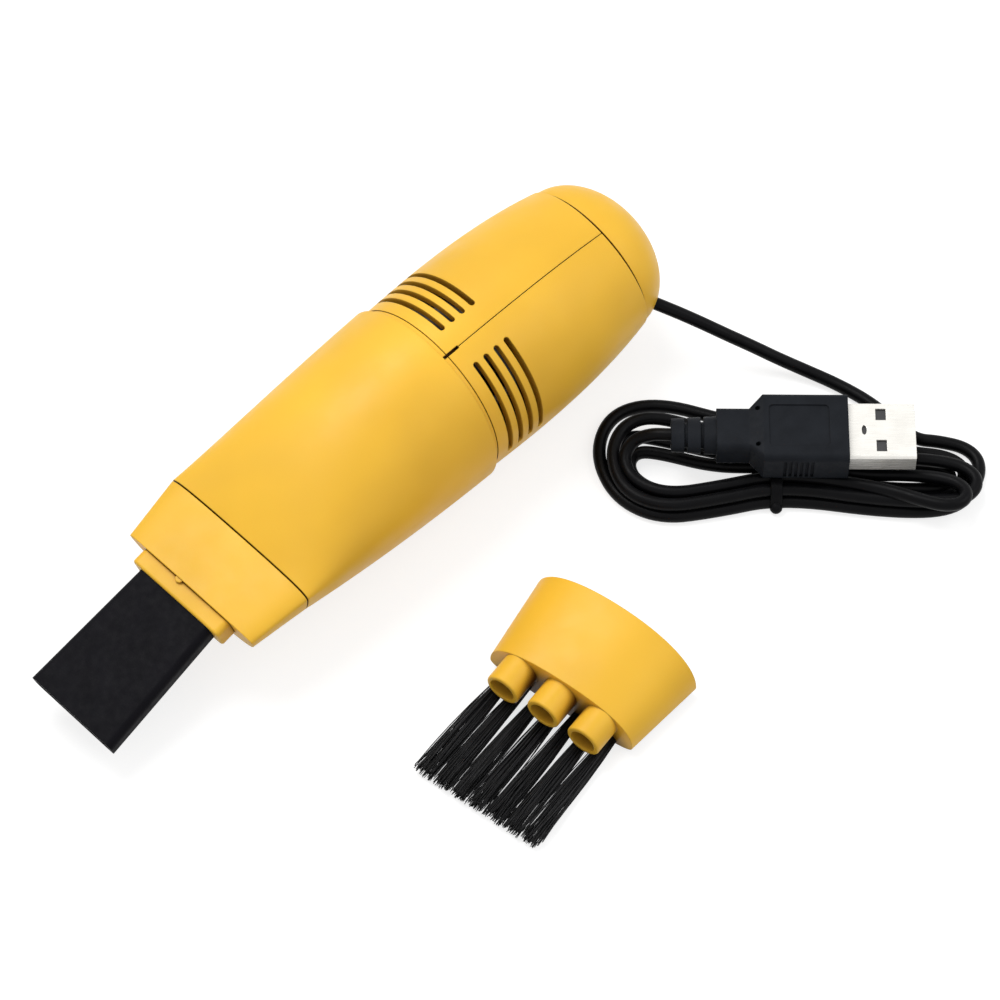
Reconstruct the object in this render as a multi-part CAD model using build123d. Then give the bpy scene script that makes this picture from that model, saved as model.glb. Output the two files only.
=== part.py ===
from build123d import *
from math import cos, pi, radians, sin, sqrt, tan
import os

# Desktop mini vacuum cleaner with a loose brush head and a USB lead.
# Millimetres. +X runs along the vacuum from nozzle to tail, +Z is up and z = 0 is the table.
# The origin is the middle of the footprint of the vacuum and its brush head.

# ---- where the pieces lie on the table ----
vacuum_x = 16.68         # rear rim of the dust cup, along the vacuum
vacuum_y = 27.47         # vacuum axis, across
rear_turn = 17.0         # the motor end sits turned about the long axis in the cup
brush_x = -4.7           # rim centre of the brush head, from the cup's rear rim
brush_y = -54.1          # rim centre of the brush head, from the vacuum axis
brush_turn = 8.8
plug_x = 53.1            # end of the overmould, from the cup's rear rim
plug_y = -56.8           # plug axis, from the vacuum axis
plug_turn = -45.3

# ---- walls and fits ----
wall = 1.5
fit_gap = 0.1            # sliding fits between the big shells
joint_gap = 0.3          # open seam between shells that come apart
seam_gap = 0.15          # seam between the two rear shells
spigot_wall = 1.2
running_gap = 0.03       # shaft in its bushes

# ---- dust cup: flat deck in front, round behind ----
cup_length = 45.5
cup_rear_half_width = 19.0
cup_rear_half_height = 18.5
cup_middle_x = -23.0
cup_middle_half_width = 18.4
cup_middle_rise = 14.7
cup_middle_drop = 15.6
cup_bore_half_width = 17.4
cup_bore_half_height = 16.8
cup_bore_length = 8.0
cup_waist_extra = 0.1    # the wall is a little thicker halfway along
deck_half_width = 17.6
deck_z = 1.8             # widest line of the deck section, from the axis
deck_rise = 2.1
deck_drop = 11.8
deck_roundness = 0.74
round_roundness = 0.57
belly_roundness = 0.60
spigot_length = 4.5

# ---- head shell, collar and crevice nozzle ----
head_length = 12.2
head_half_width = 15.9
head_z = -1.0
head_rise = 1.9
head_drop = 8.5
nose_pitch = 14.0        # collar and nozzle point down by this much
collar_shift = 0.8       # collar and nozzle sit a little to one side
collar_offset = -1.8     # collar centre below the widest line of the head's front
collar_half_width = 11.1
collar_half_height = 2.8
collar_corner = 1.2
collar_edge = 0.5
collar_length = 3.1
collar_plug_half_width = 9.0
collar_plug_half_height = 2.1
collar_plug_length = 4.6
collar_duct_wall = 0.9
collar_nub_radius = 0.8
collar_nub_y = 1.6       # from the collar's middle
collar_nub_root = 1.0
collar_nub_rise = 0.6
nozzle_length = 27.2
nozzle_root_half_width = 9.2
nozzle_root_half_height = 2.2
nozzle_tip_half_width = 10.4
nozzle_tip_half_height = 2.0
nozzle_tip_shift = -0.8  # the tip comes back to the middle
nozzle_corner = 1.4
nozzle_corner_share = 0.8   # the inner corners are sharper by this share of the wall
nozzle_wall = 0.9
nozzle_grip = 2.0        # length held inside the collar

# ---- rear shells and end cap ----
shroud_band = 1.2        # visible band between cup and rear shells
band_inset = 0.1         # the band is a little smaller than the shells
shell_front_half_width = 18.1
shell_front_half_height = 17.6
shell_belly_x = 15.0
shell_belly_half_width = 18.4
shell_belly_half_height = 17.9
shell_waist_x = 28.0
shell_waist_half_width = 17.9
shell_waist_half_height = 16.9
cap_seam_x = 42.5
cap_seam_half_width = 15.9
cap_seam_half_height = 13.4
cap_inset = 0.35         # the cap is a little smaller than the shells
cap_gap = 0.55           # the seam at the cap opens towards the top by this much
cap_length = 11.3
cap_spigot_length = 3.0
cap_spigot_wall = 1.1
cap_spigot_gap = 0.4      # the bore is this much deeper than the spigot is long

# ---- exhaust slots ----
vent_count = 4
vent_first_x = 4.35
vent_pitch = 2.52
vent_width = 1.15
vent_start_angle = 15.0
vent_end_angle = 82.0
vent_inner_radius = 12.0
notch_length = 2.7       # behind the band
notch_width = 0.6
notch_depth = 1.1

# ---- fan shroud, filter and seal ----
shroud_spigot_length = 6.4
shroud_spigot_wall = 2.2
shroud_sleeve_length = 1.3
shroud_sleeve_wall = 1.0
inlet_radius = 8.0
inlet_front = -2.0       # the inlet's bore, from the cup's rear rim
inlet_rear = 5.0
guard_bar = 1.2
guard_grip = 1.0         # length of each guard bar held in the inlet's rim
seal_width = 1.6
seal_depth = 0.9
seal_proud = 0.03        # the seal is pressed against the cup's bore
filter_frame_length = 4.8
filter_frame_wall = 1.3
filter_lip_length = 1.0
filter_lip_width = 0.6
filter_bar = 1.6
filter_bar_grip = 0.5    # the bars end inside the frame's wall
bag_length = 16.5
bag_tip_half_width = 10.0
bag_tip_half_height = 6.5
bag_wall = 0.8

# ---- impeller and motor ----
impeller_front_x = 4.6
impeller_length = 6.6
impeller_radius = 14.0
impeller_hub_radius = 3.2
impeller_plate = 1.0
blade_count = 8
blade_thickness = 0.9
blade_inner_radius = 2.7  # the blades start inside the hub
blade_tip_gap = 0.4      # and end this far inside the plate's rim
blade_sweep = 42.0
blade_bow = 0.28         # share of the sweep reached at half the blade's length
mount_x = 13.6
mount_thickness = 1.8
mount_rib = 1.4
mount_rib_width = 0.8
mount_rib_gap = 0.02
mount_post_gap = 0.3
motor_length = 23.0
can_wall = 0.8
can_face = 1.5
boss_radius = 3.0
boss_length = 1.4
shaft_radius = 1.0
bush_length = 2.6
bush_radius = 2.2
bush_inset = 0.1         # the bushes sit this far below their seats' faces
magnet_thickness = 1.9
magnet_length = 17.0
magnet_start = 1.5       # behind the can's face
magnet_angle = 120.0
air_gap = 0.2            # between the rotor and the magnets
rotor_length = 12.0
rotor_start = 2.4        # behind the can's face
rotor_rim = 1.0          # outside the winding slots
rotor_mouth = 1.6        # width of the slots' mouths
rotor_mouth_depth = 2.3
rotor_hub_radius = 3.0
rotor_slot_angle = 36.0
winding_overhang = 1.4
winding_gap = 0.1
winding_gap_angle = 0.5
commutator_radius = 2.6
commutator_length = 2.4
commutator_gap = 0.2     # to the rear bush
commutator_slot = 0.4
commutator_slot_depth = 0.5
carbon_size = 1.8
carbon_gap = 0.05
carbon_grip = 0.9        # length of carbon outside its holder
holder_width = 3.2
holder_gap = 1.0         # between the holders and the can
bell_thickness = 1.8
bell_spigot = 2.0
bell_spigot_wall = 1.57
bell_gap = 0.03
terminal_width = 2.0
terminal_thickness = 0.4
terminal_length = 4.0
terminal_offset = 6.5
motor_screw_radius = 0.95
motor_screw_head_radius = 1.7
motor_screw_head = 1.1
motor_screw_offset = 6.4
motor_screw_gap = 0.15
thread_gap = 0.02
cross_length = 4.0       # driver cross in a motor screw
cross_width = 0.4
cross_depth = 0.4

# ---- shell screws ----
shell_screw_z = -12.7
shell_screw_xs = (19.0, 34.0)
shell_boss_radius = 2.3
screw_radius = 0.88
screw_hole_radius = 0.9
screw_clear_radius = 1.15
screw_head_radius = 1.8
screw_head_height = 1.4
screw_head_gap = 0.15
screw_tip_gap = 0.5
screw_seat_y = 4.6
screw_depth = 6.0
screw_cross_length = 2.2
screw_cross_depth = 0.7

# ---- slide switch ----
switch_x = 29.0
switch_angle = -20.0     # about the long axis, below the side of the rear shells
switch_travel = 4.0
switch_recess_length = 14.0
switch_recess_height = 6.4
switch_recess_depth = 1.3
switch_floor = 1.3
switch_recess_corner = 1.2
switch_pad_top = 0.6     # the seat's pad reaches this far outside the recess floor
switch_pad_inset = 0.2   # but stays inside the shells' outer face
knob_length = 8.0
knob_height = 5.6
knob_thickness = 1.5
knob_corner = 0.8
knob_edge = 0.25
knob_ribs = 5
knob_rib_depth = 0.5
knob_groove_share = 0.44
knob_end = 1.0           # plain ends beside the ribs
knob_side = 0.7          # plain rims above and below the ribs
knob_stem_length = 2.4
knob_stem_height = 2.0
knob_stem_reach = 1.6    # into the switch
switch_body_length = 8.6
switch_body_height = 3.8
switch_body_depth = 3.4
switch_well_depth = 2.2
switch_pin_count = 3
switch_pin_pitch = 2.5
switch_pin_length = 1.2
switch_pin_size = 0.5

# ---- lead, hank and plug ----
cord_radius = 1.22
wire_radius = 0.6
wire_room = 1.7          # between the motor and the switch, for pins and wires
wire_joint_gap = 0.9     # from the motor to the wires' ends at the switch pins
wire_side_gap = 1.5      # from the motor to the wires beside it
wire_loop = 1.4          # the red wire's loop behind the motor terminals
wire_loop_drop = 3.0     # and below them
wire_strip = 1.0         # length of a terminal in its wire
wire_end_gap = 0.05
wire_lead = 1.0          # from the grommet to a wire's first bend
exit_x = 46.7            # where the lead leaves the side of the cap, from the cup's rear rim
lead_grip = 1.0          # length of lead held in the grommet
lead_start = 3.0         # straight length outside it
grommet_radius = 1.95
grommet_flange_radius = 2.7
grommet_flange = 0.8
grommet_length = 3.4
grommet_cut = 2.0        # the cutters pass the grommet by this much
lead_route = (           # control points of the lead, after its exit
    (67.7, 6.42, 11.3),
    (70.5, 2.22, 8.7),
    (73.4, -1.88, 6.1),
    (76.2, -6.48, 3.6),
    (78.8, -11.48, 2.0),
    (80.9, -16.88, 1.3),
    (82.2, -23.28, 1.3),
    (82.9, -29.48, 1.3),
    (82.7, -35.08, 1.6),
)
plug_end_route = (       # control points of the other end, from the strain relief into the hank
    (46.4, -5.78, 8.8),
    (42.1, -3.08, 7.7),
    (37.4, -2.18, 6.0),
    (33.4, -3.38, 4.7),
)
hank_left_radius = 12.8
hank_right_radius = 9.0
hank_length = 51.2       # between the loop centres
hank_shift_x = -34.3     # left loop's centre, from the end of the overmould
hank_shift_y = -1.0
hank_band = 8.0
hank_pinch = 2.6         # the tie draws the near bundle in
hank_swell = 1.0         # and pushes its inner side towards the plug
hank_height = 5.2
hank_rounding = 1.1
tie_along = -13.0        # from the end of the overmould
tie_width = 2.0
tie_thickness = 0.7

usb_width = 12.0
usb_height = 4.5
usb_length = 12.3        # bare length of the metal shell
usb_sheet = 0.3
usb_corner = 0.6
usb_fit = 0.02
usb_hidden = 5.0
usb_window_length = 1.9
usb_window_width = 2.5
usb_window_along = 6.0
usb_window_offset = 3.4
usb_dimple_along = 2.9
usb_dimple_length = 0.9
usb_dimple_width = 2.1
tongue_thickness = 1.84
tongue_width = 11.2
tongue_lift = 0.9        # tongue's middle above the shell's middle
tongue_inset = 0.5       # from the shell's mouth
tongue_root = 1.0
contact_count = 4
contact_width = 1.0
contact_thickness = 0.2
contact_pitch = 2.5
contact_start = 0.5
contact_inset = 2.0      # from the shell's mouth
mold_length = 18.1
mold_half_width = 7.3
mold_half_height = 3.7
mold_corner = 1.3
mold_shoulder = 2.5
neck_length = 6.0
neck_half_width = 4.6
neck_half_height = 3.0
relief_length = 8.3
relief_half_width = 3.9
relief_half_height = 2.7
relief_tip_share = 0.86
relief_groove = 0.6
relief_groove_depth = 0.7
relief_grooves = (2.6, 5.6)
relief_grip = 3.8
grip_rib_count = 6
grip_rib_pitch = 1.0
grip_rib_width = 0.55
grip_rib_depth = 0.45
grip_first = 6.4
grip_margin = 1.2        # the ribs stop this far from the top and bottom
panel_length = 11.0
panel_width = 9.0
panel_depth = 0.25
panel_corner = 0.8
panel_middle = 9.0
pin_mark_along = 16.6
pin_mark_offset = 3.9
pin_mark_radius = 0.45

# ---- brush head ----
brush_length = 17.0
brush_front_half_width = 15.6
brush_front_rise = 8.2
brush_front_z = 2.4
brush_front_roundness = 0.66
brush_face = 2.0
tube_count = 3
tube_pitch = 8.8
tube_radius = 3.4
tube_bore = 2.5
tube_length = 5.7
tube_edge = 0.4
tube_z = 6.4
tube_side_drop = 0.45    # the outer tubes sit lower than the middle one
tuft_count = 7
tuft_pitch = 3.7
tuft_root_radius = 0.9
tuft_tip_half_width = 1.8
tuft_tip_half_height = 1.6
tuft_length = 26.4
tuft_depth = 1.2
tuft_z = 1.6
tuft_tip_lift = 0.2      # the tips clear the table
tuft_gap = 0.02
tuft_fan = 1.04          # the tips spread a little wider than the roots

axis_height = cup_rear_half_height
motor_front_x = mount_x + mount_thickness
motor_rear_x = motor_front_x + motor_length
terminal_end_x = motor_rear_x + bell_thickness + terminal_length
switch_body_y = shell_waist_half_width - switch_recess_depth - switch_floor
motor_radius = switch_body_y - switch_body_depth - wire_room
can_inner_radius = motor_radius - can_wall
rotor_radius = can_inner_radius - magnet_thickness - air_gap
wire_joint_y = motor_radius + wire_joint_gap
wire_side_y = motor_radius + wire_side_gap
ellipse_roundness = 4 * (sqrt(2) - 1) / 3
reach = 40.0             # half length of a cutter that goes right through
overlap = 0.2            # depth by which joined solids run into each other
parts = {}


def cross_plane(x, z=0.0, pitch=0.0):
    """Plane across the vacuum: local x is +Y, local y is up, its normal points to the tail."""
    normal = (cos(radians(pitch)), 0, sin(radians(pitch)))
    return Plane(origin=(x, 0, z), x_dir=(0, 1, 0), z_dir=normal)


def section(plane, half_width, rise, drop, top_round, bottom_round, inset=0.0):
    """Closed outline of four curves. An inset keeps the same wall at top, bottom and sides."""
    shift = inset * (drop - rise) / max(drop, rise)
    w = half_width - inset
    up = rise - inset + shift
    down = drop - inset - shift
    outline = [
        Bezier((w, 0), (w, up * top_round), (w * top_round, up), (0, up)),
        Bezier((0, up), (-w * top_round, up), (-w, up * top_round), (-w, 0)),
        Bezier((-w, 0), (-w, -down * bottom_round), (-w * bottom_round, -down), (0, -down)),
        Bezier((0, -down), (w * bottom_round, -down), (w, -down * bottom_round), (w, 0)),
    ]
    return plane * Pos(0, -shift) * make_face(Wire(outline))


def oval(x, half_width, half_height, inset=0.0):
    """Elliptic section across the vacuum."""
    return section(cross_plane(x), half_width, half_height, half_height, ellipse_roundness,
                   ellipse_roundness, inset)


def oval_bar(x_from, x_to, half_width, half_height, inset=0.0):
    """Straight elliptic bar along the vacuum."""
    return extrude(oval(x_from, half_width, half_height, inset), x_to - x_from, dir=(1, 0, 0))


def rod(x_from, x_to, radius):
    """Round bar along X."""
    return extrude(cross_plane(x_from) * Circle(radius), x_to - x_from, dir=(1, 0, 0))


def ring(x_from, x_to, outer, inner):
    return rod(x_from, x_to, outer) - rod(x_from, x_to, inner)


def slab(x_from, x_to, y_from=-reach, y_to=reach):
    """Cutter between two stations along the vacuum, tall enough to pass right through."""
    return block(x_from, x_to, y_from, y_to, -reach, reach)


def block(x_from, x_to, y_from, y_to, z_from, z_to):
    middle = Pos((x_from + x_to) / 2, (y_from + y_to) / 2, (z_from + z_to) / 2)
    return middle * Box(x_to - x_from, y_to - y_from, z_to - z_from)


def around(x, angle):
    """Frame on the axis at x, turned so that its Z points to angle, counted from the top seam."""
    return Pos(x, 0, 0) * Rot(angle, 0, 0)


# ---------------------------------------------------------------- dust cup

def deck_section(inset=0.0):
    return section(cross_plane(-cup_length, deck_z), deck_half_width, deck_rise, deck_drop,
                   deck_roundness, belly_roundness, inset)


def head_front_plane(forward=0.0):
    """Plane of the head's front edge, tilted with the nose, moved forward along it."""
    pitch = radians(nose_pitch)
    x = -cup_length - head_length - forward * cos(pitch)
    return cross_plane(x, head_z - forward * sin(pitch), nose_pitch)


def head_section(inset=0.0, forward=0.0):
    return section(head_front_plane(forward), head_half_width, head_rise, head_drop,
                   deck_roundness, belly_roundness, inset)


def nose_body(inset=0.0, forward=0.0):
    return loft([deck_section(inset), head_section(inset, forward)])


def make_front_housing():
    middle = section(cross_plane(cup_middle_x), cup_middle_half_width, cup_middle_rise,
                     cup_middle_drop, round_roundness, round_roundness)
    outer = loft([deck_section(), middle, oval(0, cup_rear_half_width, cup_rear_half_height)])
    inner_middle = section(cross_plane(cup_middle_x), cup_middle_half_width, cup_middle_rise,
                           cup_middle_drop, round_roundness, round_roundness, wall + cup_waist_extra)
    throat = wall + fit_gap + spigot_wall
    bore_front = oval(-cup_bore_length, cup_bore_half_width, cup_bore_half_height)
    cavity = loft([deck_section(throat), inner_middle, bore_front])
    cavity += oval_bar(-cup_bore_length, 0, cup_bore_half_width, cup_bore_half_height)
    spigot = nose_body(wall + fit_gap) - nose_body(throat)
    spigot &= slab(-cup_length - spigot_length, -cup_length)
    return outer - cavity + spigot


def make_head_shell():
    outer = nose_body()
    behind_wall = Box(2 * reach, 2 * reach, 2 * reach, align=(Align.CENTER, Align.CENTER, Align.MIN))
    hollow = nose_body(wall) & head_front_plane() * Pos(0, 0, wall) * behind_wall
    slot = extrude(plug_outline(fit_gap), collar_plug_length, both=True)
    slot = head_front_plane() * Pos(collar_shift, collar_offset) * slot
    nub_seat = collar_nub(collar_nub_radius + fit_gap)
    seam = slab(-cup_length - joint_gap, -cup_length + joint_gap)
    return outer - hollow - slot - nub_seat - seam


# ---------------------------------------------------------------- collar and nozzle

def plug_outline(gap=0.0):
    width = 2 * (collar_plug_half_width + gap)
    height = 2 * (collar_plug_half_height + gap)
    return RectangleRounded(width, height, collar_plug_half_height * 0.9)


def collar_nub(radius):
    """Round nub that locks the collar, half of it in a seat in the head's edge."""
    root = collar_offset + collar_half_height - collar_nub_root
    nub = Cylinder(radius, collar_nub_root + collar_nub_rise, align=(Align.CENTER, Align.CENTER, Align.MIN))
    return head_front_plane() * Pos(collar_shift + collar_nub_y, root) * Rot(-90, 0, 0) * nub


def make_collar():
    base = head_front_plane(fit_gap) * Pos(collar_shift, collar_offset, 0)
    flange = RectangleRounded(2 * collar_half_width, 2 * collar_half_height, collar_corner)
    body = extrude(flange, -collar_length)
    body = fillet(body.edges().group_by(Axis.Z)[0], collar_edge)
    duct_width = 2 * (collar_plug_half_width - collar_duct_wall)
    duct_height = 2 * (collar_plug_half_height - collar_duct_wall)
    plug = extrude(plug_outline(), collar_plug_length)
    duct_outline = RectangleRounded(duct_width, duct_height, duct_height * 0.4)
    duct = Pos(0, 0, -collar_length) * extrude(duct_outline, collar_length + collar_plug_length)
    socket = Pos(0, 0, -collar_length) * extrude(nozzle_outline(0, 0), nozzle_grip)
    return base * (body + plug - duct - socket) + collar_nub(collar_nub_radius)


def nozzle_outline(share, inset):
    """Outline of the nozzle at a share of its length, 0 at the root and 1 at the tip."""
    width = nozzle_root_half_width + share * (nozzle_tip_half_width - nozzle_root_half_width)
    height = nozzle_root_half_height + share * (nozzle_tip_half_height - nozzle_root_half_height)
    corner = nozzle_corner - nozzle_corner_share * inset
    return RectangleRounded(2 * (width - inset), 2 * (height - inset), corner)


def nozzle_tube(inset):
    grip = extrude(nozzle_outline(0, inset), -nozzle_grip)
    root = Pos(0, 0, -nozzle_grip) * nozzle_outline(0, inset)
    tip = Pos(nozzle_tip_shift, 0, -nozzle_grip - nozzle_length) * nozzle_outline(1, inset)
    return grip + loft([root, tip])


def make_nozzle():
    root = head_front_plane(fit_gap + collar_length - nozzle_grip) * Pos(collar_shift, collar_offset)
    return root * (nozzle_tube(0) - nozzle_tube(nozzle_wall))


# ---------------------------------------------------------------- rear shells and cap

def rear_body(inset=0.0):
    x = shroud_band + fit_gap
    return loft([
        oval(x, shell_front_half_width, shell_front_half_height, inset),
        oval(shell_belly_x, shell_belly_half_width, shell_belly_half_height, inset),
        oval(shell_waist_x, shell_waist_half_width, shell_waist_half_height, inset),
        oval(cap_seam_x, cap_seam_half_width, cap_seam_half_height, inset),
    ])


def wedge(x_from, x_to, half_angle):
    """Wedge of a disc about the long axis, to both sides of straight up."""
    corner_y = 2 * reach * sin(radians(half_angle))
    corner_z = 2 * reach * cos(radians(half_angle))
    outline = make_face(Polyline((0, 0), (corner_y, corner_z), (-corner_y, corner_z), close=True))
    return extrude(Plane.YZ.offset(x_from) * outline, x_to - x_from)


def make_vents():
    """Cutters of the exhaust slots, on both sides of the top seam and with round ends."""
    cutters = []
    half_angle = (vent_end_angle - vent_start_angle) / 2
    for index in range(vent_count):
        x = vent_first_x + index * vent_pitch
        for side in (1, -1):
            middle = side * (vent_start_angle + half_angle)
            slot = ring(x - vent_width / 2, x + vent_width / 2, reach, vent_inner_radius)
            slot &= around(0, middle) * wedge(x - vent_width, x + vent_width, half_angle)
            for angle in (middle - half_angle, middle + half_angle):
                end = Cylinder(vent_width / 2, reach, align=(Align.CENTER, Align.CENTER, Align.MIN))
                slot += around(x, angle) * Pos(0, 0, vent_inner_radius) * end
            cutters.append(slot)
    return cutters


def notch(x_from, x_to):
    """Cutter of the slit that opens the top seam in front."""
    low = shell_front_half_height - notch_depth
    return block(x_from, x_to, -notch_width / 2, notch_width / 2, low, reach)


def cap_seam_wedge():
    """Cutter that opens the seam at the cap from the axis upwards."""
    outline = Polyline((cap_seam_x, 0), (cap_seam_x - 2 * cap_gap, 2 * cap_seam_half_height),
                       (cap_seam_x + cap_gap, 2 * cap_seam_half_height), close=True)
    return extrude(Plane.XZ * make_face(outline), reach, both=True)


def make_rear_shells():
    tube = rear_body() - rear_body(wall)
    inside = rear_body(wall - overlap)
    for x in (mount_x - mount_rib_gap - mount_rib_width, mount_x + mount_thickness + mount_rib_gap):
        tube += (inside - rear_body(wall + mount_rib)) & slab(x, x + mount_rib_width)
    tube -= cap_bore()
    tube -= make_vents()
    front = shroud_band + fit_gap
    tube -= notch(front, front + notch_length)
    tube -= cap_seam_wedge()
    posts = [drill_y(x, shell_screw_z, shell_boss_radius, -reach, reach) & inside for x in shell_screw_xs]
    tube += posts
    left = tube & slab(0, 2 * reach, seam_gap / 2, reach)
    right = tube & slab(0, 2 * reach, -reach, -seam_gap / 2)
    for x in shell_screw_xs:
        left -= drill_y(x, shell_screw_z, screw_clear_radius, 0, screw_seat_y)
        left -= drill_y(x, shell_screw_z, screw_head_radius + screw_head_gap, screw_seat_y, reach)
        right -= drill_y(x, shell_screw_z, screw_hole_radius, -screw_depth - screw_tip_gap, 0)
    return add_switch_seat(left), right


def drill_y(x, z, radius, y_from, y_to):
    """Round bar along Y."""
    return Pos(x, (y_from + y_to) / 2, z) * Rot(90, 0, 0) * Cylinder(radius, y_to - y_from)


def cap_bore(inset=0.0):
    """Straight bore at the back of the shells, which takes the cap's spigot."""
    half_width = cap_seam_half_width - wall
    half_height = cap_seam_half_height - wall
    front = cap_seam_x - cap_spigot_length - cap_spigot_gap
    return oval_bar(front, cap_seam_x + wall, half_width, half_height, inset)


def dome(length, half_width, half_height):
    """Rear half of an ellipsoid behind the cap's seam."""
    half = Sphere(1) & slab(0, 2)
    return Pos(cap_seam_x, 0, 0) * scale(half, by=(length, half_width, half_height))


def make_end_cap():
    half_width = cap_seam_half_width - cap_inset
    half_height = cap_seam_half_height - cap_inset
    shell = dome(cap_length, half_width, half_height)
    shell -= dome(cap_length - wall, half_width - wall, half_height - wall)
    spigot = cap_bore(fit_gap) - cap_bore(fit_gap + cap_spigot_wall)
    spigot &= slab(cap_seam_x - cap_spigot_length, cap_seam_x + overlap)
    return shell + spigot


# ---------------------------------------------------------------- slide switch

def at_switch(shape):
    """Turns what is made at the side of the rear shells down to the switch's place."""
    return Rot(switch_angle, 0, 0) * shape


def switch_floor_y():
    """Outer face of the recess floor."""
    return switch_body_y + switch_floor


def stem_slot(y_from, y_to):
    """Slot in which the knob's stem slides."""
    half_length = (switch_travel + knob_stem_length) / 2 + fit_gap
    half_height = knob_stem_height / 2 + fit_gap
    return block(switch_x - half_length, switch_x + half_length, y_from, y_to, -half_height, half_height)


def add_switch_seat(shell):
    outer_y = switch_floor_y()
    half_length = switch_recess_length / 2
    half_height = switch_recess_height / 2
    pad = block(switch_x - half_length - wall, switch_x + half_length + wall, switch_body_y,
                outer_y + switch_pad_top, -half_height - wall, half_height + wall)
    shell += at_switch(pad) & rear_body(switch_pad_inset)
    recess = Plane.XZ.offset(-outer_y) * Pos(switch_x, 0) * RectangleRounded(
        switch_recess_length, switch_recess_height, switch_recess_corner)
    shell -= at_switch(extrude(recess, -reach))
    return shell - at_switch(stem_slot(switch_body_y - wall, outer_y + wall))


def make_switch_knob():
    """The knob rests forward, in its off place."""
    x = switch_x - switch_travel / 2
    low = switch_floor_y() + fit_gap
    top = low + knob_thickness
    plate = block(x - knob_length / 2, x + knob_length / 2, low, top, -knob_height / 2, knob_height / 2)
    plate = fillet(plate.edges().filter_by(Axis.Y), knob_corner)
    plate = fillet(plate.faces().sort_by(Axis.Y)[-1].edges(), knob_edge)
    pitch = (knob_length - 2 * knob_end) / knob_ribs
    half_groove = pitch * knob_groove_share / 2
    half_ribbed = knob_height / 2 - knob_side
    for index in range(knob_ribs):
        groove = x - knob_length / 2 + knob_end + (index + 0.5) * pitch
        plate -= block(groove - half_groove, groove + half_groove, top - knob_rib_depth, top + wall,
                       -half_ribbed, half_ribbed)
    stem = block(x - knob_stem_length / 2, x + knob_stem_length / 2, low - switch_floor - knob_stem_reach,
                 low + overlap, -knob_stem_height / 2, knob_stem_height / 2)
    return at_switch(plate + stem)


def make_switch_body():
    case = block(switch_x - switch_body_length / 2, switch_x + switch_body_length / 2,
                 switch_body_y - switch_body_depth, switch_body_y, -switch_body_height / 2,
                 switch_body_height / 2)
    return at_switch(case - stem_slot(switch_body_y - switch_well_depth, switch_body_y + wall))


def make_switch_terminals():
    root = switch_body_y - switch_body_depth
    half_size = switch_pin_size / 2
    pins = []
    for index in range(switch_pin_count):
        x = switch_pin_x(index)
        pin = block(x - half_size, x + half_size, root - switch_pin_length, root, -half_size, half_size)
        pins.append(at_switch(pin))
    return Compound(pins)


# ---------------------------------------------------------------- shroud, filter, seal

def shroud_spigot_size():
    return cup_bore_half_width - fit_gap, cup_bore_half_height - fit_gap


def make_fan_shroud():
    half_width, half_height = shroud_spigot_size()
    front_size = (shell_front_half_width, shell_front_half_height)
    band = oval_bar(fit_gap, shroud_band, *front_size, band_inset) - notch(0, shroud_band)
    spigot = oval_bar(-shroud_spigot_length, fit_gap + overlap, half_width, half_height)
    spigot -= oval_bar(-reach, 0, half_width, half_height, shroud_spigot_wall)
    sleeve_inset = wall + fit_gap
    sleeve = oval_bar(shroud_band - overlap, shroud_band + fit_gap + shroud_sleeve_length, *front_size,
                      sleeve_inset)
    sleeve -= oval_bar(shroud_band, reach, *front_size, sleeve_inset + shroud_sleeve_wall)
    inlet = rod(inlet_front, inlet_rear, inlet_radius)
    half_bar = inlet_radius + guard_grip
    bars = block(fit_gap, shroud_band, -half_bar, half_bar, -guard_bar / 2, guard_bar / 2)
    bars += block(fit_gap, shroud_band, -guard_bar / 2, guard_bar / 2, -half_bar, half_bar)
    turned = Rot(rear_turn, 0, 0) * (band + sleeve)
    return turned + spigot - inlet + bars - seal_ring(seal_depth)


def seal_ring(proud):
    """Ring round the spigot, from the groove's floor to a little outside the spigot."""
    half_width, half_height = shroud_spigot_size()
    middle = -shroud_spigot_length / 2
    front, rear = middle - seal_width / 2, middle + seal_width / 2
    outer = oval_bar(front, rear, half_width, half_height, -proud)
    return outer - oval_bar(front - wall, rear + wall, half_width, half_height, seal_depth)


def filter_size():
    half_width, half_height = shroud_spigot_size()
    inset = shroud_spigot_wall + fit_gap
    return half_width - inset, half_height - inset


def make_filter_frame():
    half_width, half_height = filter_size()
    front = -shroud_spigot_length - fit_gap
    tube = oval_bar(front, front + filter_frame_length, half_width, half_height)
    lip = oval_bar(front - filter_lip_length, front, half_width, half_height, -filter_lip_width)
    hole = oval_bar(-reach, reach, half_width, half_height, filter_frame_wall)
    rear = front + filter_frame_length
    across = half_width - filter_bar_grip
    upright = half_height - filter_bar_grip
    bars = block(rear - filter_bar, rear, -across, across, -filter_bar / 2, filter_bar / 2)
    bars += block(rear - filter_bar, rear, -filter_bar / 2, filter_bar / 2, -upright, upright)
    return tube + lip - hole + bars


def make_filter_bag():
    half_width, half_height = filter_size()
    rear = -shroud_spigot_length - fit_gap - filter_lip_length
    mouth_inset = filter_frame_wall - bag_wall

    def shell(inset, back, tip):
        mouth = oval(rear + back, half_width - mouth_inset, half_height - mouth_inset, inset)
        return loft([mouth, oval(rear - bag_length + tip, bag_tip_half_width, bag_tip_half_height, inset)])

    return shell(0, 0, 0) - shell(bag_wall, 0, bag_wall)


# ---------------------------------------------------------------- fan and motor

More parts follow.
